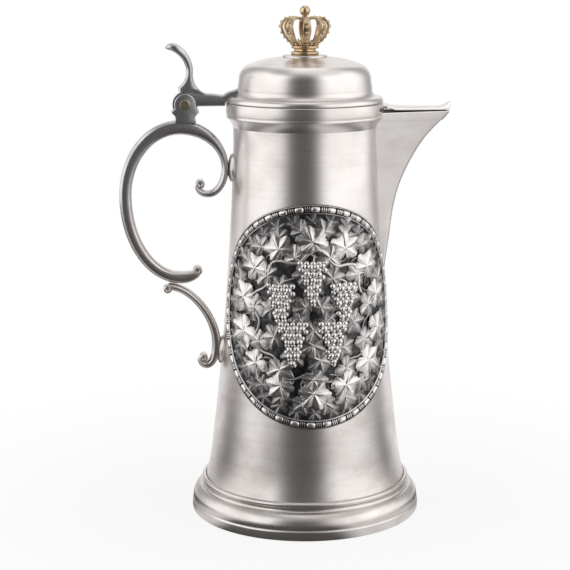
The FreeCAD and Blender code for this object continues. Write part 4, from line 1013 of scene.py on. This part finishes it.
class JUG_OT_plaque(bpy.types.Operator):
    """Model the oval plaque with its vine relief and its bead-and-reel border"""
    bl_idname = "jug.plaque"
    bl_label = "Plaque"

    def execute(self, context):
        self.plate()
        self.vine()
        self.border(context.scene.jug_sizes)
        return {"FINISHED"}

    def plate(self):
        wide, tall = field()
        lap, face, back, hammering = 0.6, 1.45, 0.1, 0.16

        def place(u, v):
            angle = 2 * math.pi * u
            share = there_and_back(v)
            a, b = (wide + lap) * share * math.cos(angle), (tall + lap) * share * math.sin(angle)
            if v > 0.5:
                return on_wall(a, b, back)
            ripple_a = math.sin(a * 1.9 + 2.3 * math.sin(b * 0.7))
            ripple_b = math.sin(b * 1.7 + 1.1 * math.sin(a * 0.9))
            return on_wall(a, b, face + hammering * ripple_a * ripple_b)

        plate = laid_grid(150, 44, place)
        finished(plate, "plaque_plate", "jug", "oxidised_silver", ["medallion_plate"], angle=60)

    def vine(self):
        chance = random.Random(7)
        pieces = self.leaves(chance) + self.bunches(chance) + self.tendrils()
        finished(joined(pieces), "vine_relief", "jug", "oxidised_silver", ["medallion_relief"], angle=60)

    def at(self, ring, angle):
        """The point at an angle on a ring, which is a share of the plaque's radius."""
        wide, tall = field()
        return ring * wide * math.cos(angle), ring * tall * math.sin(angle)

    def leaves(self, chance):
        small = 7.0
        leaf, small_leaf = flat_leaf(10, 76, 12), flat_leaf(7, 52, 8)
        pieces = []
        for ring, count, first, size, lift in LEAF_RINGS:
            pattern = leaf if size > small else small_leaf
            for index in range(count):
                angle = 2 * math.pi * (index + first) / count + math.pi / 2
                a, b = self.at(ring, angle)
                turn = angle - math.pi / 2 + chance.uniform(-0.5, 0.5)
                large = size * chance.uniform(0.9, 1.1)
                pieces.append(laid_leaf(pattern, a, b, turn, large, lift, chance.uniform(-0.03, 0.06)))
        remove(leaf)
        remove(small_leaf)
        return pieces

    def bunches(self, chance):
        """Bunches of grapes, each with its stalk."""
        _, tall = field()
        grape = ball(10, 6, 2.25)
        pieces = []
        for index in range(BUNCHES):
            a, b = self.at(0.33, 2 * math.pi * index / BUNCHES + math.pi / 2)
            pieces.extend(grape_bunch(a, b, grape, chance))
            top = b + 0.19 * tall
            stalk = [(a, top - 1.0), (a + 0.8, top + 3.0), (a * 0.6 + 1.0, top + 6.5)]
            pieces.append(wrapped_stem(stalk, 1.1, 1.9))
        remove(grape)
        return pieces

    def tendrils(self):
        """The vine's wavy stem round the plaque, and the curls that leave it."""
        middle, steps, reach, curl_radius = 0.60, 45, 5.0, 6.2
        wave = []
        for step in range(steps + 1):
            angle = 2 * math.pi * step / steps + 0.4
            wave.append(self.at(middle + 0.055 * math.sin(angle * VINE_WAVES + 0.6), angle))
        pieces = [wrapped_stem(wave, 1.35, 1.6)]
        for index in range(TENDRILS):
            angle = 2 * math.pi * (index + 0.3) / TENDRILS
            a, b = self.at(middle, angle)
            a += math.cos(angle) * reach
            b += math.sin(angle) * reach
            side = 1 if index % 2 else -1
            curl = []
            for step in range(16):
                turn = angle + side * step * 0.62
                far = curl_radius * (1 - step / 17)
                curl.append((a - far * math.cos(turn), b - far * math.sin(turn)))
            pieces.append(wrapped_stem(curl, 0.62, 1.7, 6))
        return pieces

    def border(self, size):
        wide, tall = size.medallion_half_width / MM, size.medallion_half_height / MM
        width = size.border_width / MM
        profile = ((0.0, 0.0), (0.0, 1.5), (0.35, 2.1), (0.9, 2.2), (1.25, 1.5), (width / 2, 1.2),
                   (width - 1.25, 1.5), (width - 0.9, 2.5), (width - 0.35, 2.4), (width, 1.8), (width, 0.0))
        count = len(profile)

        def place(u, v):
            inset, lift = profile[int(round(u * count)) % count]
            angle = 2 * math.pi * v
            return on_wall((wide - inset) * math.cos(angle), (tall - inset) * math.sin(angle), lift)

        pieces = [laid_grid(count, 220, place)]
        line = []
        for step in range(361):
            angle = math.radians(step)
            line.append(((wide - width / 2) * math.cos(angle), (tall - width / 2) * math.sin(angle)))
        units, first, reels = 42, 0.31, 3
        bead_length, reel_length, gap, reel_pitch = 6.5, 0.95, 0.75, 1.35
        pitch = sum(math.dist(a, b) for a, b in zip(line, line[1:])) / units
        bead = spun_across(0.0, 0.0, both_sides([(0.0, 0.5), (0.55, 0.47), (0.86, 0.40), (1.0, 0.27)]), 14)
        reel = spun_across(0.0, 0.0, both_sides([(0.0, 0.5), (0.8, 0.5), (1.0, 0.28)]), 12)
        for index in range(units):
            pieces.append(self.laid_bead(bead, line, (index + first) / units, 2.15, bead_length))
            for step in range(reels):
                share = (index + first + (bead_length / 2 + gap + reel_pitch * step) / pitch) / units
                pieces.append(self.laid_bead(reel, line, share, 2.1, reel_length))
        remove(bead)
        remove(reel)
        finished(joined(pieces), "bead_and_reel", "jug", "oxidised_silver", ["medallion_border"], angle=50)

    def laid_bead(self, bead, line, share, radius, long):
        """A copy of a bead of unit size, laid along the border's middle line."""
        near, lift = 0.004, 1.05
        share = share % 1.0
        here = Vector(along(line, share))
        ahead, normal = direction(line, (share - near) % 1.0, (share + near) % 1.0)

        def move(point):
            spot = here + ahead * (point.y * long) + normal * (point.x * radius)
            return on_wall(spot.x, spot.y, lift + point.z * radius)

        return copied(bead, move)


# Handle and hinge

# The way out of a scroll, for each heading
AWAY = {"left": (0, -1), "up": (-1, 0), "right": (0, 1), "down": (1, 0)}


def scroll_lines(nodes, roundness, count=18):
    """Outer and inner line of a scroll that turns a quarter from node to node.

    A node is (x, z, thickness, heading)."""
    sides = []
    for sign in (1, -1):
        line = []
        for x, z, thick, heading in nodes:
            out = AWAY[heading]
            line.append((Vector((x + out[0] * sign * thick / 2, z + out[1] * sign * thick / 2)), heading))
        points = []
        for index, ((start, heading), (end, _)) in enumerate(zip(line, line[1:])):
            corner = Vector((end.x, start.y)) if heading in ("left", "right") else Vector((start.x, end.y))
            share = roundness[index]
            first, second = start + (corner - start) * share, end + (corner - end) * share
            for step in range(count + 1):
                if step == 0 and index:
                    continue
                t = step / count
                points.append(tuple((1 - t) ** 3 * start + 3 * t * (1 - t) ** 2 * first
                                    + 3 * t * t * (1 - t) * second + t ** 3 * end))
        sides.append(points)
    return sides


def scroll_bar(nodes, roundness, buds):
    """A scroll with a button, given as (x, z, radius), in each of its curls."""
    size = bpy.context.scene.jug_sizes
    half = size.handle_width / MM / 2
    outer, inner = scroll_lines(nodes, roundness)
    pieces = [bar_between(inner, outer, lambda share: half, size.handle_chamfer / MM, matched=True)]
    for x, z, radius in buds:
        wide = half + 0.4
        button = both_sides([
            (0.0, wide - 0.5), (radius * 0.28, wide - 0.5), (radius * 0.5, wide), (radius * 0.72, wide),
            (radius, wide - 1.0)])
        pieces.append(spun_across(x, z, eased(button, 0.5, closed=False), 36))
    return joined(pieces)


def mount_pad(height, half_height):
    """An oval pad that swells out of the wall, its edge and its back let in."""
    half_width, swell, edge, back = 6.5, 3.3, -0.2, -0.5

    def place(u, v):
        angle = 2 * math.pi * u
        share = there_and_back(v)
        y, z = half_width * share * math.cos(angle), height + half_height * share * math.sin(angle)
        rise = swell * (1 - share ** 3.2) ** 0.6 if v < 0.5 else back
        if v == 0.5:
            rise = edge
        return -math.sqrt(wall_radius(z) ** 2 - y * y) - rise, y, z

    return laid_grid(48, 28, place)


class JUG_OT_handle(bpy.types.Operator):
    """Bend the two scrolls of the handle and set their pads"""
    bl_idname = "jug.handle"
    bl_label = "Handle"

    def execute(self, context):
        large = scroll_bar([
            (-76.4, 175.2, 5.4, "down"), (-88.0, 170.2, 8.0, "left"), (-126.2, 228.0, 8.6, "up"),
            (-88.0, 276.5, 9.8, "right"), (-56.3, 247.8, 4.8, "down"), (-68.5, 229.6, 4.8, "left"),
            (-75.5, 235.0, 4.2, "up")],
            [QUARTER] * 6, [(-76.4, 175.2, 3.2), (-73.9, 236.8, 3.2)])
        finished(large, "large_scroll", "jug", "cast_silver", ["handle_scroll"], angle=35)
        small = scroll_bar([
            (-97.0, 163.9, 5.0, "right"), (-63.75, 122.4, 6.2, "down"), (-70.75, 106.4, 5.1, "left"),
            (-75.15, 110.8, 4.5, "up")],
            [0.46, QUARTER, QUARTER], [(-97.8, 162.3, 3.04), (-72.95, 112.0, 2.9)])
        finished(small, "small_scroll", "jug", "cast_silver", ["lower_scroll"], angle=35)
        finished(mount_pad(247.8, 10.5), "upper_mount", "jug", "cast_silver", ["upper_pad"], angle=60)
        finished(mount_pad(117.1, 10.5), "lower_mount", "jug", "cast_silver", ["lower_pad"], angle=60)
        return {"FINISHED"}


def from_pin(corners):
    """Corners of a line, given from the middle of the pin."""
    return [(PIN_X + corner[0], PIN_Z + corner[1]) + tuple(corner[2:]) for corner in corners]


class JUG_OT_hinge(bpy.types.Operator):
    """Model the clevis on the handle and the riveted pin"""
    bl_idname = "jug.hinge"
    bl_label = "Hinge"

    def execute(self, context):
        ear, foot, seat, spur = 7.5, 7.6, 11.1, 2.3
        inside, outside, web_reach = 3.05, 6.5, 4.0
        outline = drawn(from_pin([
            (-foot, -seat - 1.5), (foot, -seat - 1.5), (foot * 0.92, -seat + 1.0, 0.12), (foot * 0.98, -ear),
            (ear + spur, -ear * 0.66), (ear * 0.98, -ear * 0.2, (PIN_X, PIN_Z + ear)),
            (-ear * 0.94, -ear * 0.34), (-ear - spur, -ear * 0.68), (-foot * 0.98, -ear, 0.12),
            (-foot * 0.92, -seat + 1.0)]), 14)
        ears = [plate_from(outline, -outside, -inside, 0.55), plate_from(outline, inside, outside, 0.55)]
        web_half, web_low, web_top = foot * 0.9, -seat - 1.0, -9.6
        web = from_pin([(-web_half, web_low), (web_half, web_low), (web_half, web_top), (-web_half, web_top)])
        ears.append(plate_from(web, -web_reach, web_reach, 0.2))
        finished(joined(ears), "hinge_clevis", "jug", "cast_silver", ["hinge_bracket"], angle=40)
        rivet = both_sides([(0.0, 6.95), (1.6, 7.05), (2.9, 7.1), (3.5, 6.9), (3.7, 6.4), (2.1, 6.3)])
        pin = spun_across(PIN_X, PIN_Z, eased(rivet, 0.3, closed=False), 48)
        finished(pin, "rivet_pin", "jug", "pin_brass", ["hinge_pin"], angle=40)
        return {"FINISHED"}


class JUG_OT_lever(bpy.types.Operator):
    """Model the lid's lever with its thumbpiece"""
    bl_idname = "jug.lever"
    bl_label = "Lever"

    def execute(self, context):
        size = context.scene.jug_sizes
        half_lever, half_thumb = size.lever_width / MM / 2, size.thumb_width / MM / 2
        waist = 22.15
        left = self.stem_side([
            (-4.4, 8.9), (-4.6, 11.6, -0.12), (1.3, waist, -0.17), (-11.4, 37.8), (-12.6, 38.2)], waist)
        right = self.stem_side([
            (15.5, 6.6), (14.25, 7.4, 0.17), (5.8, waist, -0.14), (-4.6, 41.0, -0.2), (-13.0, 39.4)], waist)

        def stem_width(share):
            flare = smooth((share - 0.45) / 0.4)
            tip = math.sqrt(max(0.0, 1 - max(0.0, (share - 0.8) / 0.2) ** 2.4))
            return (half_lever + (half_thumb - half_lever) * flare) * (0.35 + 0.65 * tip)

        pieces = [bar_between(left, right, stem_width, 1.3, matched=True)]
        lower = from_pin([(8.0, -1.4), (27.7, -1.4), (28.3, 1.4), (37.0, 1.4)])
        upper = drawn(from_pin([
            (4.0, 8.6), (14.25, 7.4, 0.02), (26.5, 6.2, 0.06), (35.0, 9.8), (37.0, 10.8)]), 10)
        pieces.append(bar_between(lower, upper, lambda share: half_lever, 1.1, rows=40))
        neck_low = from_pin([(7.2, 4.0), (9.5, -1.4)])
        neck_high = from_pin([(-2.0, 9.2), (16.0, 7.0)])
        pieces.append(bar_between(neck_low, neck_high, lambda share: half_lever - 0.02, 1.0, rows=8))
        tongue_radius, tongue_half = 8.8, 2.8
        tongue = eased(both_sides([(0.0, tongue_half), (tongue_radius, tongue_half)]), 0.3, closed=False)
        pieces.append(spun_across(PIN_X, PIN_Z, tongue, 64))
        finished(joined(pieces), "lever", "lid", "cast_silver", ["thumb_lever"], angle=38)
        return {"FINISHED"}

    def stem_side(self, corners, waist):
        """One side of the stem as even points, with its waist at two fifths of the way."""
        line = drawn(from_pin(corners), 16)
        runs = [math.dist(a, b) for a, b in zip(line, line[1:])]
        below = next(index for index, point in enumerate(line) if point[1] >= PIN_Z + waist - 1e-6)
        at = sum(runs[:below]) / sum(runs)
        count, waist_share = 60, 0.4
        points = []
        for step in range(count + 1):
            share = step / count
            if share <= waist_share:
                place = share / waist_share * at
            else:
                place = at + (share - waist_share) / (1 - waist_share) * (1 - at)
            points.append(along(line, place))
        return points


# Lid and finial

STUD_HOLE = 2.2
SEAT_HEIGHT = 1.8
CIRCLET_HEIGHT = 6.8
ARCH_HEIGHT = 19.0
ARCHES = 8
# Pearls on an arch: share of its length, radius in millimetres
PEARLS = ((0.07, 0.95), (0.17, 1.05), (0.275, 1.2), (0.385, 1.35), (0.49, 1.4), (0.59, 1.3), (0.68, 1.1),
          (0.765, 0.9))


def dome_line(inset):
    """The dome's line from the flange to the hole for the stud, set in from the outside."""
    size = bpy.context.scene.jug_sizes
    foot, top, flange_top = size.dome_radius / MM, size.dome_top / MM, size.lid_height / MM + 4.2
    side = foot - 2.6 - inset
    return drawn([
        (foot - inset, flange_top, 0.16), (side, flange_top + 5.4), (side - 0.9, flange_top + 10.8, -0.18),
        (side - 9.6, flange_top + 22.3 - inset, -0.045), (size.seat_radius / MM + 0.6, top - inset),
        (STUD_HOLE, top - inset)], 16)


class JUG_OT_lid(bpy.types.Operator):
    """Turn the lid's flange and dome and form the cover of the spout"""
    bl_idname = "jug.lid"
    bl_label = "Lid"

    def execute(self, context):
        size = context.scene.jug_sizes
        flange, dome, low = size.flange_radius / MM, size.dome_radius / MM, size.lid_height / MM
        ring = eased(drawn([
            (dome - 2.0, low), (flange - 0.3, low), (flange, low + 0.5), (flange, low + 0.9, -0.24),
            (dome + 1.1, low + 3.95), (dome + 0.2, low + 4.2), (dome - 2.0, low + 4.2)], 12), 0.25)
        finished(spun(ring, 224), "flange", "lid", "satin_silver", ["lid_flange"], angle=40)
        shell = spun(dome_line(0.0) + list(reversed(dome_line(1.4))), 224)
        finished(shell, "dome", "lid", "satin_silver", ["lid_dome"], angle=30)
        self.cover(size)
        return {"FINISHED"}

    def cover(self, size):
        strip, overhang, gap = 1.0, 1.5, 0.4
        tip = size.spout_reach / MM + strip + overhang
        low = size.spout_top / MM + gap
        rim = size.rim_radius / MM
        root, dip, start = rim + 1.5, rim + 8.5, rim - 3.0
        turn = (root + dip) / 2
        middle = low + 1.45
        under = drawn([(start, low + 2.2), (root, low + 2.2, 0.06), (turn, middle, -0.06), (dip, low + 0.7),
                       (tip - 2.0, low, -0.15), (tip, low + 3.4)], 10)
        over = drawn([(start, low + 4.3), (root, low + 4.3, 0.06), (turn, middle + 2.1, -0.06),
                      (dip, low + 2.8, -0.01), (tip - 13.0, low + 2.6, -0.1), (tip - 0.6, low + 6.2)], 10)
        count = 70
        under = [along(under, step / count) for step in range(count + 1)]
        over = [along(over, step / count) for step in range(count + 1)]
        middle_x = [(a[0] + b[0]) / 2 for a, b in zip(under, over)]

        def half_width(share):
            x = middle_x[int(round(share * count))]
            lip, tail, wide, nose = rim + 0.6, 12.6, 13.9, 3.2
            if x < lip:
                return tail
            straight = wide + (nose - wide) * (x - lip) / (tip - nose - lip)
            past = max(0.0, (x - (tip - nose - 1.2)) / (nose + 1.2))
            return straight * math.sqrt(max(0.05, 1 - past ** 2.2))

        plate = bar_between(under, over, half_width, 0.5, matched=True)
        seat = self.cover_seat(size, low)
        finished(joined([plate, seat]), "cover_plate", "lid", "satin_silver", ["spout_cover"], angle=38)

    def cover_seat(self, size, low):
        """The segment under the flange that carries the cover."""
        radius, inner, half_width = size.flange_radius / MM, 46.2, 23.9
        bottom, top = low + 3.4, size.lid_height / MM + 0.2
        reach, steps = math.asin(half_width / radius), 12
        outline = []
        for step in range(2 * steps + 1):
            angle = reach * (step / steps - 1)
            outline.append((radius * math.cos(angle), radius * math.sin(angle), bottom))
        outline += [(inner, half_width, bottom), (inner, -half_width, bottom)]
        return extruded(outline, 0.0, 0.0, top - bottom)


class JUG_OT_finial(bpy.types.Operator):
    """Build the crown finial on its seat"""
    bl_idname = "jug.finial"
    bl_label = "Finial"

    def execute(self, context):
        size = context.scene.jug_sizes
        top = size.dome_top / MM
        seat = size.seat_radius / MM
        foot = top + SEAT_HEIGHT
        disc = drawn([
            (STUD_HOLE, top), (seat, top), (seat, top + 0.6, -0.2), (seat - 1.3, top + 1.45),
            (seat - 2.4, top + 1.6), (size.circlet_radius / MM + 1.2, foot), (STUD_HOLE, foot)], 8)
        finished(spun(eased(disc, 0.3), 128), "seat_disc", "lid", "satin_silver", ["finial_seat"], angle=40)
        self.circlet(size, foot)
        self.arches(size, foot + CIRCLET_HEIGHT)
        self.trefoils(size, foot + CIRCLET_HEIGHT)
        summit = foot + CIRCLET_HEIGHT + ARCH_HEIGHT
        self.collar(summit)
        self.orb(size, summit)
        return {"FINISHED"}

    def collar(self, summit):
        radius = 3.7
        line = drawn([
            (0.0, summit - 3.2, -0.2), (radius, summit - 1.7), (radius, summit - 0.5), (2.0, summit),
            (0.0, summit)], 8)
        collar = spun(eased(line, 0.4, closed=False), 64, closed=False)
        finished(collar, "collar", "lid", "gilt", ["crown_collar"], angle=40)

    def orb(self, size, summit):
        radius, steps, neck_steps = size.orb_radius / MM, 30, 4
        centre = summit + 0.45 + radius
        line = [(0.0, summit - 0.2), (2.1, summit - 0.2), (1.7, summit + 0.3), (1.5, summit + 0.6)]
        for step in range(neck_steps, steps):
            angle = math.pi * step / steps
            line.append((radius * math.sin(angle) ** 0.9, centre - radius * math.cos(angle)))
        line.append((0.0, centre + radius))
        finished(spun(line, 64, closed=False), "orb", "lid", "gilt", ["crown_orb"], angle=40)

    def circlet(self, size, foot):
        radius, top, floor = size.circlet_radius / MM, foot + CIRCLET_HEIGHT, foot + 2.3
        band = drawn([
            (STUD_HOLE, foot), (radius + 0.1, foot, -0.45), (radius, foot + 2.2),
            (radius - 0.9, foot + 2.4, 0.2), (radius - 0.9, foot + 3.9), (radius - 0.2, foot + 4.1, -0.45),
            (radius + 0.1, foot + 6.3),
            (radius - 0.3, top), (radius - 2.2, top), (radius - 2.2, floor), (STUD_HOLE, floor)], 8)
        finished(spun(eased(band, 0.2), 96), "circlet", "lid", "gilt", ["crown_circlet"], angle=45)

    def arches(self, size, foot):
        wide = size.crown_radius / MM
        half, root_half, half_thick, sunk = size.arch_width / MM / 2, 1.15, 0.85, 0.3
        start, belly = (7.3, foot - 0.2), (wide, foot + 12.4)
        top, end = (wide * 0.6, foot + 18.1), (3.2, foot + 17.4)

        def middle(a, b, out, up):
            return (a[0] + b[0]) / 2 + out, (a[1] + b[1]) / 2 + up

        line = drawn([start + (middle(start, belly, wide * 0.09, -wide * 0.05),),
                      belly + (middle(belly, top, wide * 0.09, wide * 0.075),),
                      top + (middle(top, end, 0.0, wide * 0.03),), end], 16)
        count = 48
        line = [Vector(along(line, step / count)) for step in range(count + 1)]
        outer, inner = [], []
        for index, here in enumerate(line):
            ahead = line[min(index + 1, count)] - line[max(index - 1, 0)]
            ahead.normalize()
            normal = Vector((ahead.y, -ahead.x))
            outer.append(tuple(here + normal * half_thick))
            inner.append(tuple(here - normal * half_thick))

        def half_width(share):
            swell = math.sin(math.pi * min(1.0, max(0.0, (share + 0.02) / 0.9))) ** 1.6
            return root_half + (half - root_half) * swell

        pieces = [bar_between(inner, outer, half_width, 0.45, matched=True)]
        pearl = ball(16, 10, 1.0)
        for share, radius in PEARLS:
            index = int(round(share * count))
            out = Vector(outer[index]) - Vector(inner[index])
            out.normalize()
            spot = Vector(outer[index]) - out * sunk
            pieces.append(self.set_pearl(pearl, Vector((spot.x, 0.0, spot.y)), radius))
        remove(pearl)
        one = joined(pieces)
        ring = [one] + [turned_copy(one, 2 * math.pi * step / ARCHES) for step in range(1, ARCHES)]
        finished(joined(ring), "arches", "lid", "gilt", ["crown_arches"], angle=50)

    def set_pearl(self, pearl, spot, radius):
        return copied(pearl, lambda point: spot + point * radius)

    def trefoils(self, size, foot):
        """Leaf points that lean out between the arches, each over a pearl."""
        radius = size.circlet_radius / MM - 0.7
        middle, lobe, scale, back, slope = 1.15, 0.55, 1.25, -0.35, 0.5

        def place(u, v):
            angle = 2 * math.pi * u
            share = there_and_back(v)
            reach = (middle + lobe * math.cos(3 * (angle - math.pi / 2))) * share
            side, rise = reach * math.cos(angle) * scale, reach * math.sin(angle) * scale + 1.9
            face = 0.75 * math.sqrt(max(0.0, 1 - share ** 2)) + 0.15
            out = face if v <= 0.5 else back
            return radius + slope * rise + out, side, foot + rise - 0.2

        leaf = laid_grid(36, 12, place)
        pearl = ball(12, 8, 0.85)
        base = self.set_pearl(pearl, Vector((radius + 1.35, 0.0, foot + 0.7)), 1.0)
        remove(pearl)
        one = joined([leaf, base])
        ring = [turned_copy(one, 2 * math.pi * (step + 0.5) / ARCHES) for step in range(ARCHES)]
        remove(one)
        finished(joined(ring), "trefoils", "lid", "gilt", ["crown_leaves"], angle=60)


# Stage

WHITE = (1.0, 1.0, 1.0, 1.0)


def rays(place):
    """1 for what the camera sees, and 1 for what metal or glass shows it."""
    path = place.tree.nodes.new("ShaderNodeLightPath")
    seen = Shade(place.tree, path.outputs["Is Camera Ray"])
    glossy = Shade(place.tree, path.outputs["Is Glossy Ray"])
    clear = Shade(place.tree, path.outputs["Is Transmission Ray"])
    return seen, glossy + clear


def camera_angle(place, stage):
    """Degrees round the jug's axis from the camera's side, positive towards the spout."""
    x, y, _ = place.parts()
    sine, cosine = math.sin(stage.camera_turn), math.cos(stage.camera_turn)
    return (x * cosine + y * sine).maths("ARCTAN2", x * sine - y * cosine) * (180 / math.pi)


def between(value, start, full, fading, end):
    """1 from full to fading, and 0 before start and after end."""
    return value.ramp(start, full) * (1 - value.ramp(fading, end))


class JUG_OT_stage(bpy.types.Operator):
    """Set the floor, the light and the camera"""
    bl_idname = "jug.stage"
    bl_label = "Stage"

    def execute(self, context):
        stage = context.scene.jug_stage
        self.floor(stage)
        self.world(context.scene, stage)
        self.lamp(stage)
        self.camera(context.scene, stage)
        context.scene.view_settings.view_transform = "Standard"
        return {"FINISHED"}

    def floor(self, stage):
        clear_selection()
        bpy.ops.mesh.primitive_circle_add(vertices=160, radius=stage.floor_radius, fill_type="NGON")
        floor = bpy.context.object
        floor.name = "floor"
        material = bpy.data.materials.new("pale_floor")
        end, place = start_shading(material, "ShaderNodeOutputMaterial", "Object")
        seen, mirrored = rays(place)
        away = axis_radius(place).ramp(0.10, 0.40)
        matt = place.node("ShaderNodeBsdfDiffuse", Color=rgba(stage.floor_colour))
        white = place.node("ShaderNodeEmission", Color=WHITE, Strength=1.0)
        turn = camera_angle(place, stage)
        behind = turn.maths("ABSOLUTE").ramp(100.0, 130.0)
        shown = (seen + mirrored) * (away * 0.17 + 0.83)
        lit = place.node("ShaderNodeMixShader", i0=shown, i1=matt, i2=white)
        # Painted pools of light on the floor, shown only in the metal where the soft boxes stand. Elsewhere
        # in front of the jug the metal shows the floor in a darker colour, which is painted shade.
        right = between(turn, 15.0, 34.0, 70.0, 105.0)
        left = between(turn * -1, 42.0, 60.0, 70.0, 95.0)
        painted_dark_floor = place.node("ShaderNodeBsdfDiffuse", Color=rgba(stage.painted_shade_floor))
        painted_pools = place.node("ShaderNodeMixShader", i0=(right + left) * stage.painted_pool_light, i1=painted_dark_floor, i2=white)
        # In the metal, except behind the jug, the floor shows the painted pools of light and the painted
        # shade instead of its own colour.
        mixed = place.node("ShaderNodeMixShader", i0=mirrored * (1 - behind), i1=lit, i2=painted_pools)
        place.tree.links.new(mixed.socket, end)
        floor.data.materials.append(material)

    def world(self, scene, stage):
        """White to the eye, and behind the jug to the metal too; round the rest of the jug a studio with two
        large soft boxes and a dark side towards the camera."""
        world = bpy.data.worlds.new("studio")
        scene.world = world
        end, place = start_shading(world, "ShaderNodeOutputWorld", "Generated")
        _, _, z = place.parts()
        turn = camera_angle(place, stage)
        right = between(turn, 14.0, 36.0, 104.0, 142.0)
        left = between(turn * -1, 20.0, 41.0, 104.0, 146.0)
        back = turn.maths("ABSOLUTE").ramp(112.0, 150.0)
        top = z.ramp(0.5, 0.95)
        boxes = (right + left * 0.97) * (1 - z.ramp(0.62, 0.9)) * (z.ramp(-0.5, -0.1) * 0.7 + 0.3)
        room = boxes * stage.box_light + back * 0.34 + top * 0.36 + 0.095
        seen, mirrored = rays(place)
        behind = turn.maths("ABSOLUTE").ramp(150.0, 165.0)
        shown = seen + mirrored * behind
        made = place.node("ShaderNodeBackground", Color=WHITE, Strength=shown + (1 - shown) * room)
        place.tree.links.new(made.socket, end)

    def lamp(self, stage):
        """A soft lamp over the jug, not seen by the camera."""
        place, aim, side = Vector((0.25, -0.1, 1.7)), Vector((0.0, 0.0, 0.15)), 1.3
        clear_selection()
        bpy.ops.object.light_add(type="AREA", location=place)
        lamp = bpy.context.object
        lamp.name = "top_box"
        lamp.data.shape = "SQUARE"
        lamp.data.size = side
        lamp.data.energy = stage.lamp_power
        lamp.rotation_euler = (aim - place).to_track_quat("-Z", "Y").to_euler()
        lamp.visible_camera = False

    def camera(self, scene, stage):
        clear_selection()
        turn = stage.camera_turn
        reach = stage.camera_reach
        place = (reach * math.sin(turn), -reach * math.cos(turn), stage.camera_height)
        bpy.ops.object.camera_add(location=place, rotation=(stage.camera_tilt, 0.0, turn))
        camera = bpy.context.object
        camera.name = "camera"
        camera.data.lens = stage.lens
        camera.data.sensor_width = 36.0
        camera.data.sensor_fit = "HORIZONTAL"
        camera.data.shift_x = stage.camera_shift
        camera.data.clip_start = 0.05
        camera.data.clip_end = 50.0
        scene.camera = camera


STEPS = [JUG_OT_finishes, JUG_OT_body, JUG_OT_spout, JUG_OT_plaque, JUG_OT_handle, JUG_OT_hinge, JUG_OT_lever,
         JUG_OT_lid, JUG_OT_finial, JUG_OT_stage]


class JUG_PT_panel(bpy.types.Panel):
    """Steps and settings of the jug"""
    bl_idname = "JUG_PT_panel"
    bl_label = "Lidded serving jug"
    bl_space_type = "VIEW_3D"
    bl_region_type = "UI"
    bl_category = "Jug"

    def draw(self, context):
        for step in STEPS:
            self.layout.operator(step.bl_idname)
        for group in (context.scene.jug_sizes, context.scene.jug_colours, context.scene.jug_stage):
            box = self.layout.box()
            for name in group.__annotations__:
                box.prop(group, name)


CLASSES = [JugSizes, JugColours, JugStage] + STEPS + [JUG_PT_panel]


def register():
    for kind in CLASSES:
        bpy.utils.register_class(kind)
    bpy.types.Scene.jug_sizes = bpy.props.PointerProperty(type=JugSizes)
    bpy.types.Scene.jug_colours = bpy.props.PointerProperty(type=JugColours)
    bpy.types.Scene.jug_stage = bpy.props.PointerProperty(type=JugStage)


def unregister():
    for name in ("jug_sizes", "jug_colours", "jug_stage"):
        delattr(bpy.types.Scene, name)
    for kind in reversed(CLASSES):
        bpy.utils.unregister_class(kind)


def main():
    register()
    for step in STEPS:
        group, name = step.bl_idname.split(".")
        getattr(getattr(bpy.ops, group), name)()
    clear_selection()


if __name__ == "__main__":
    main()
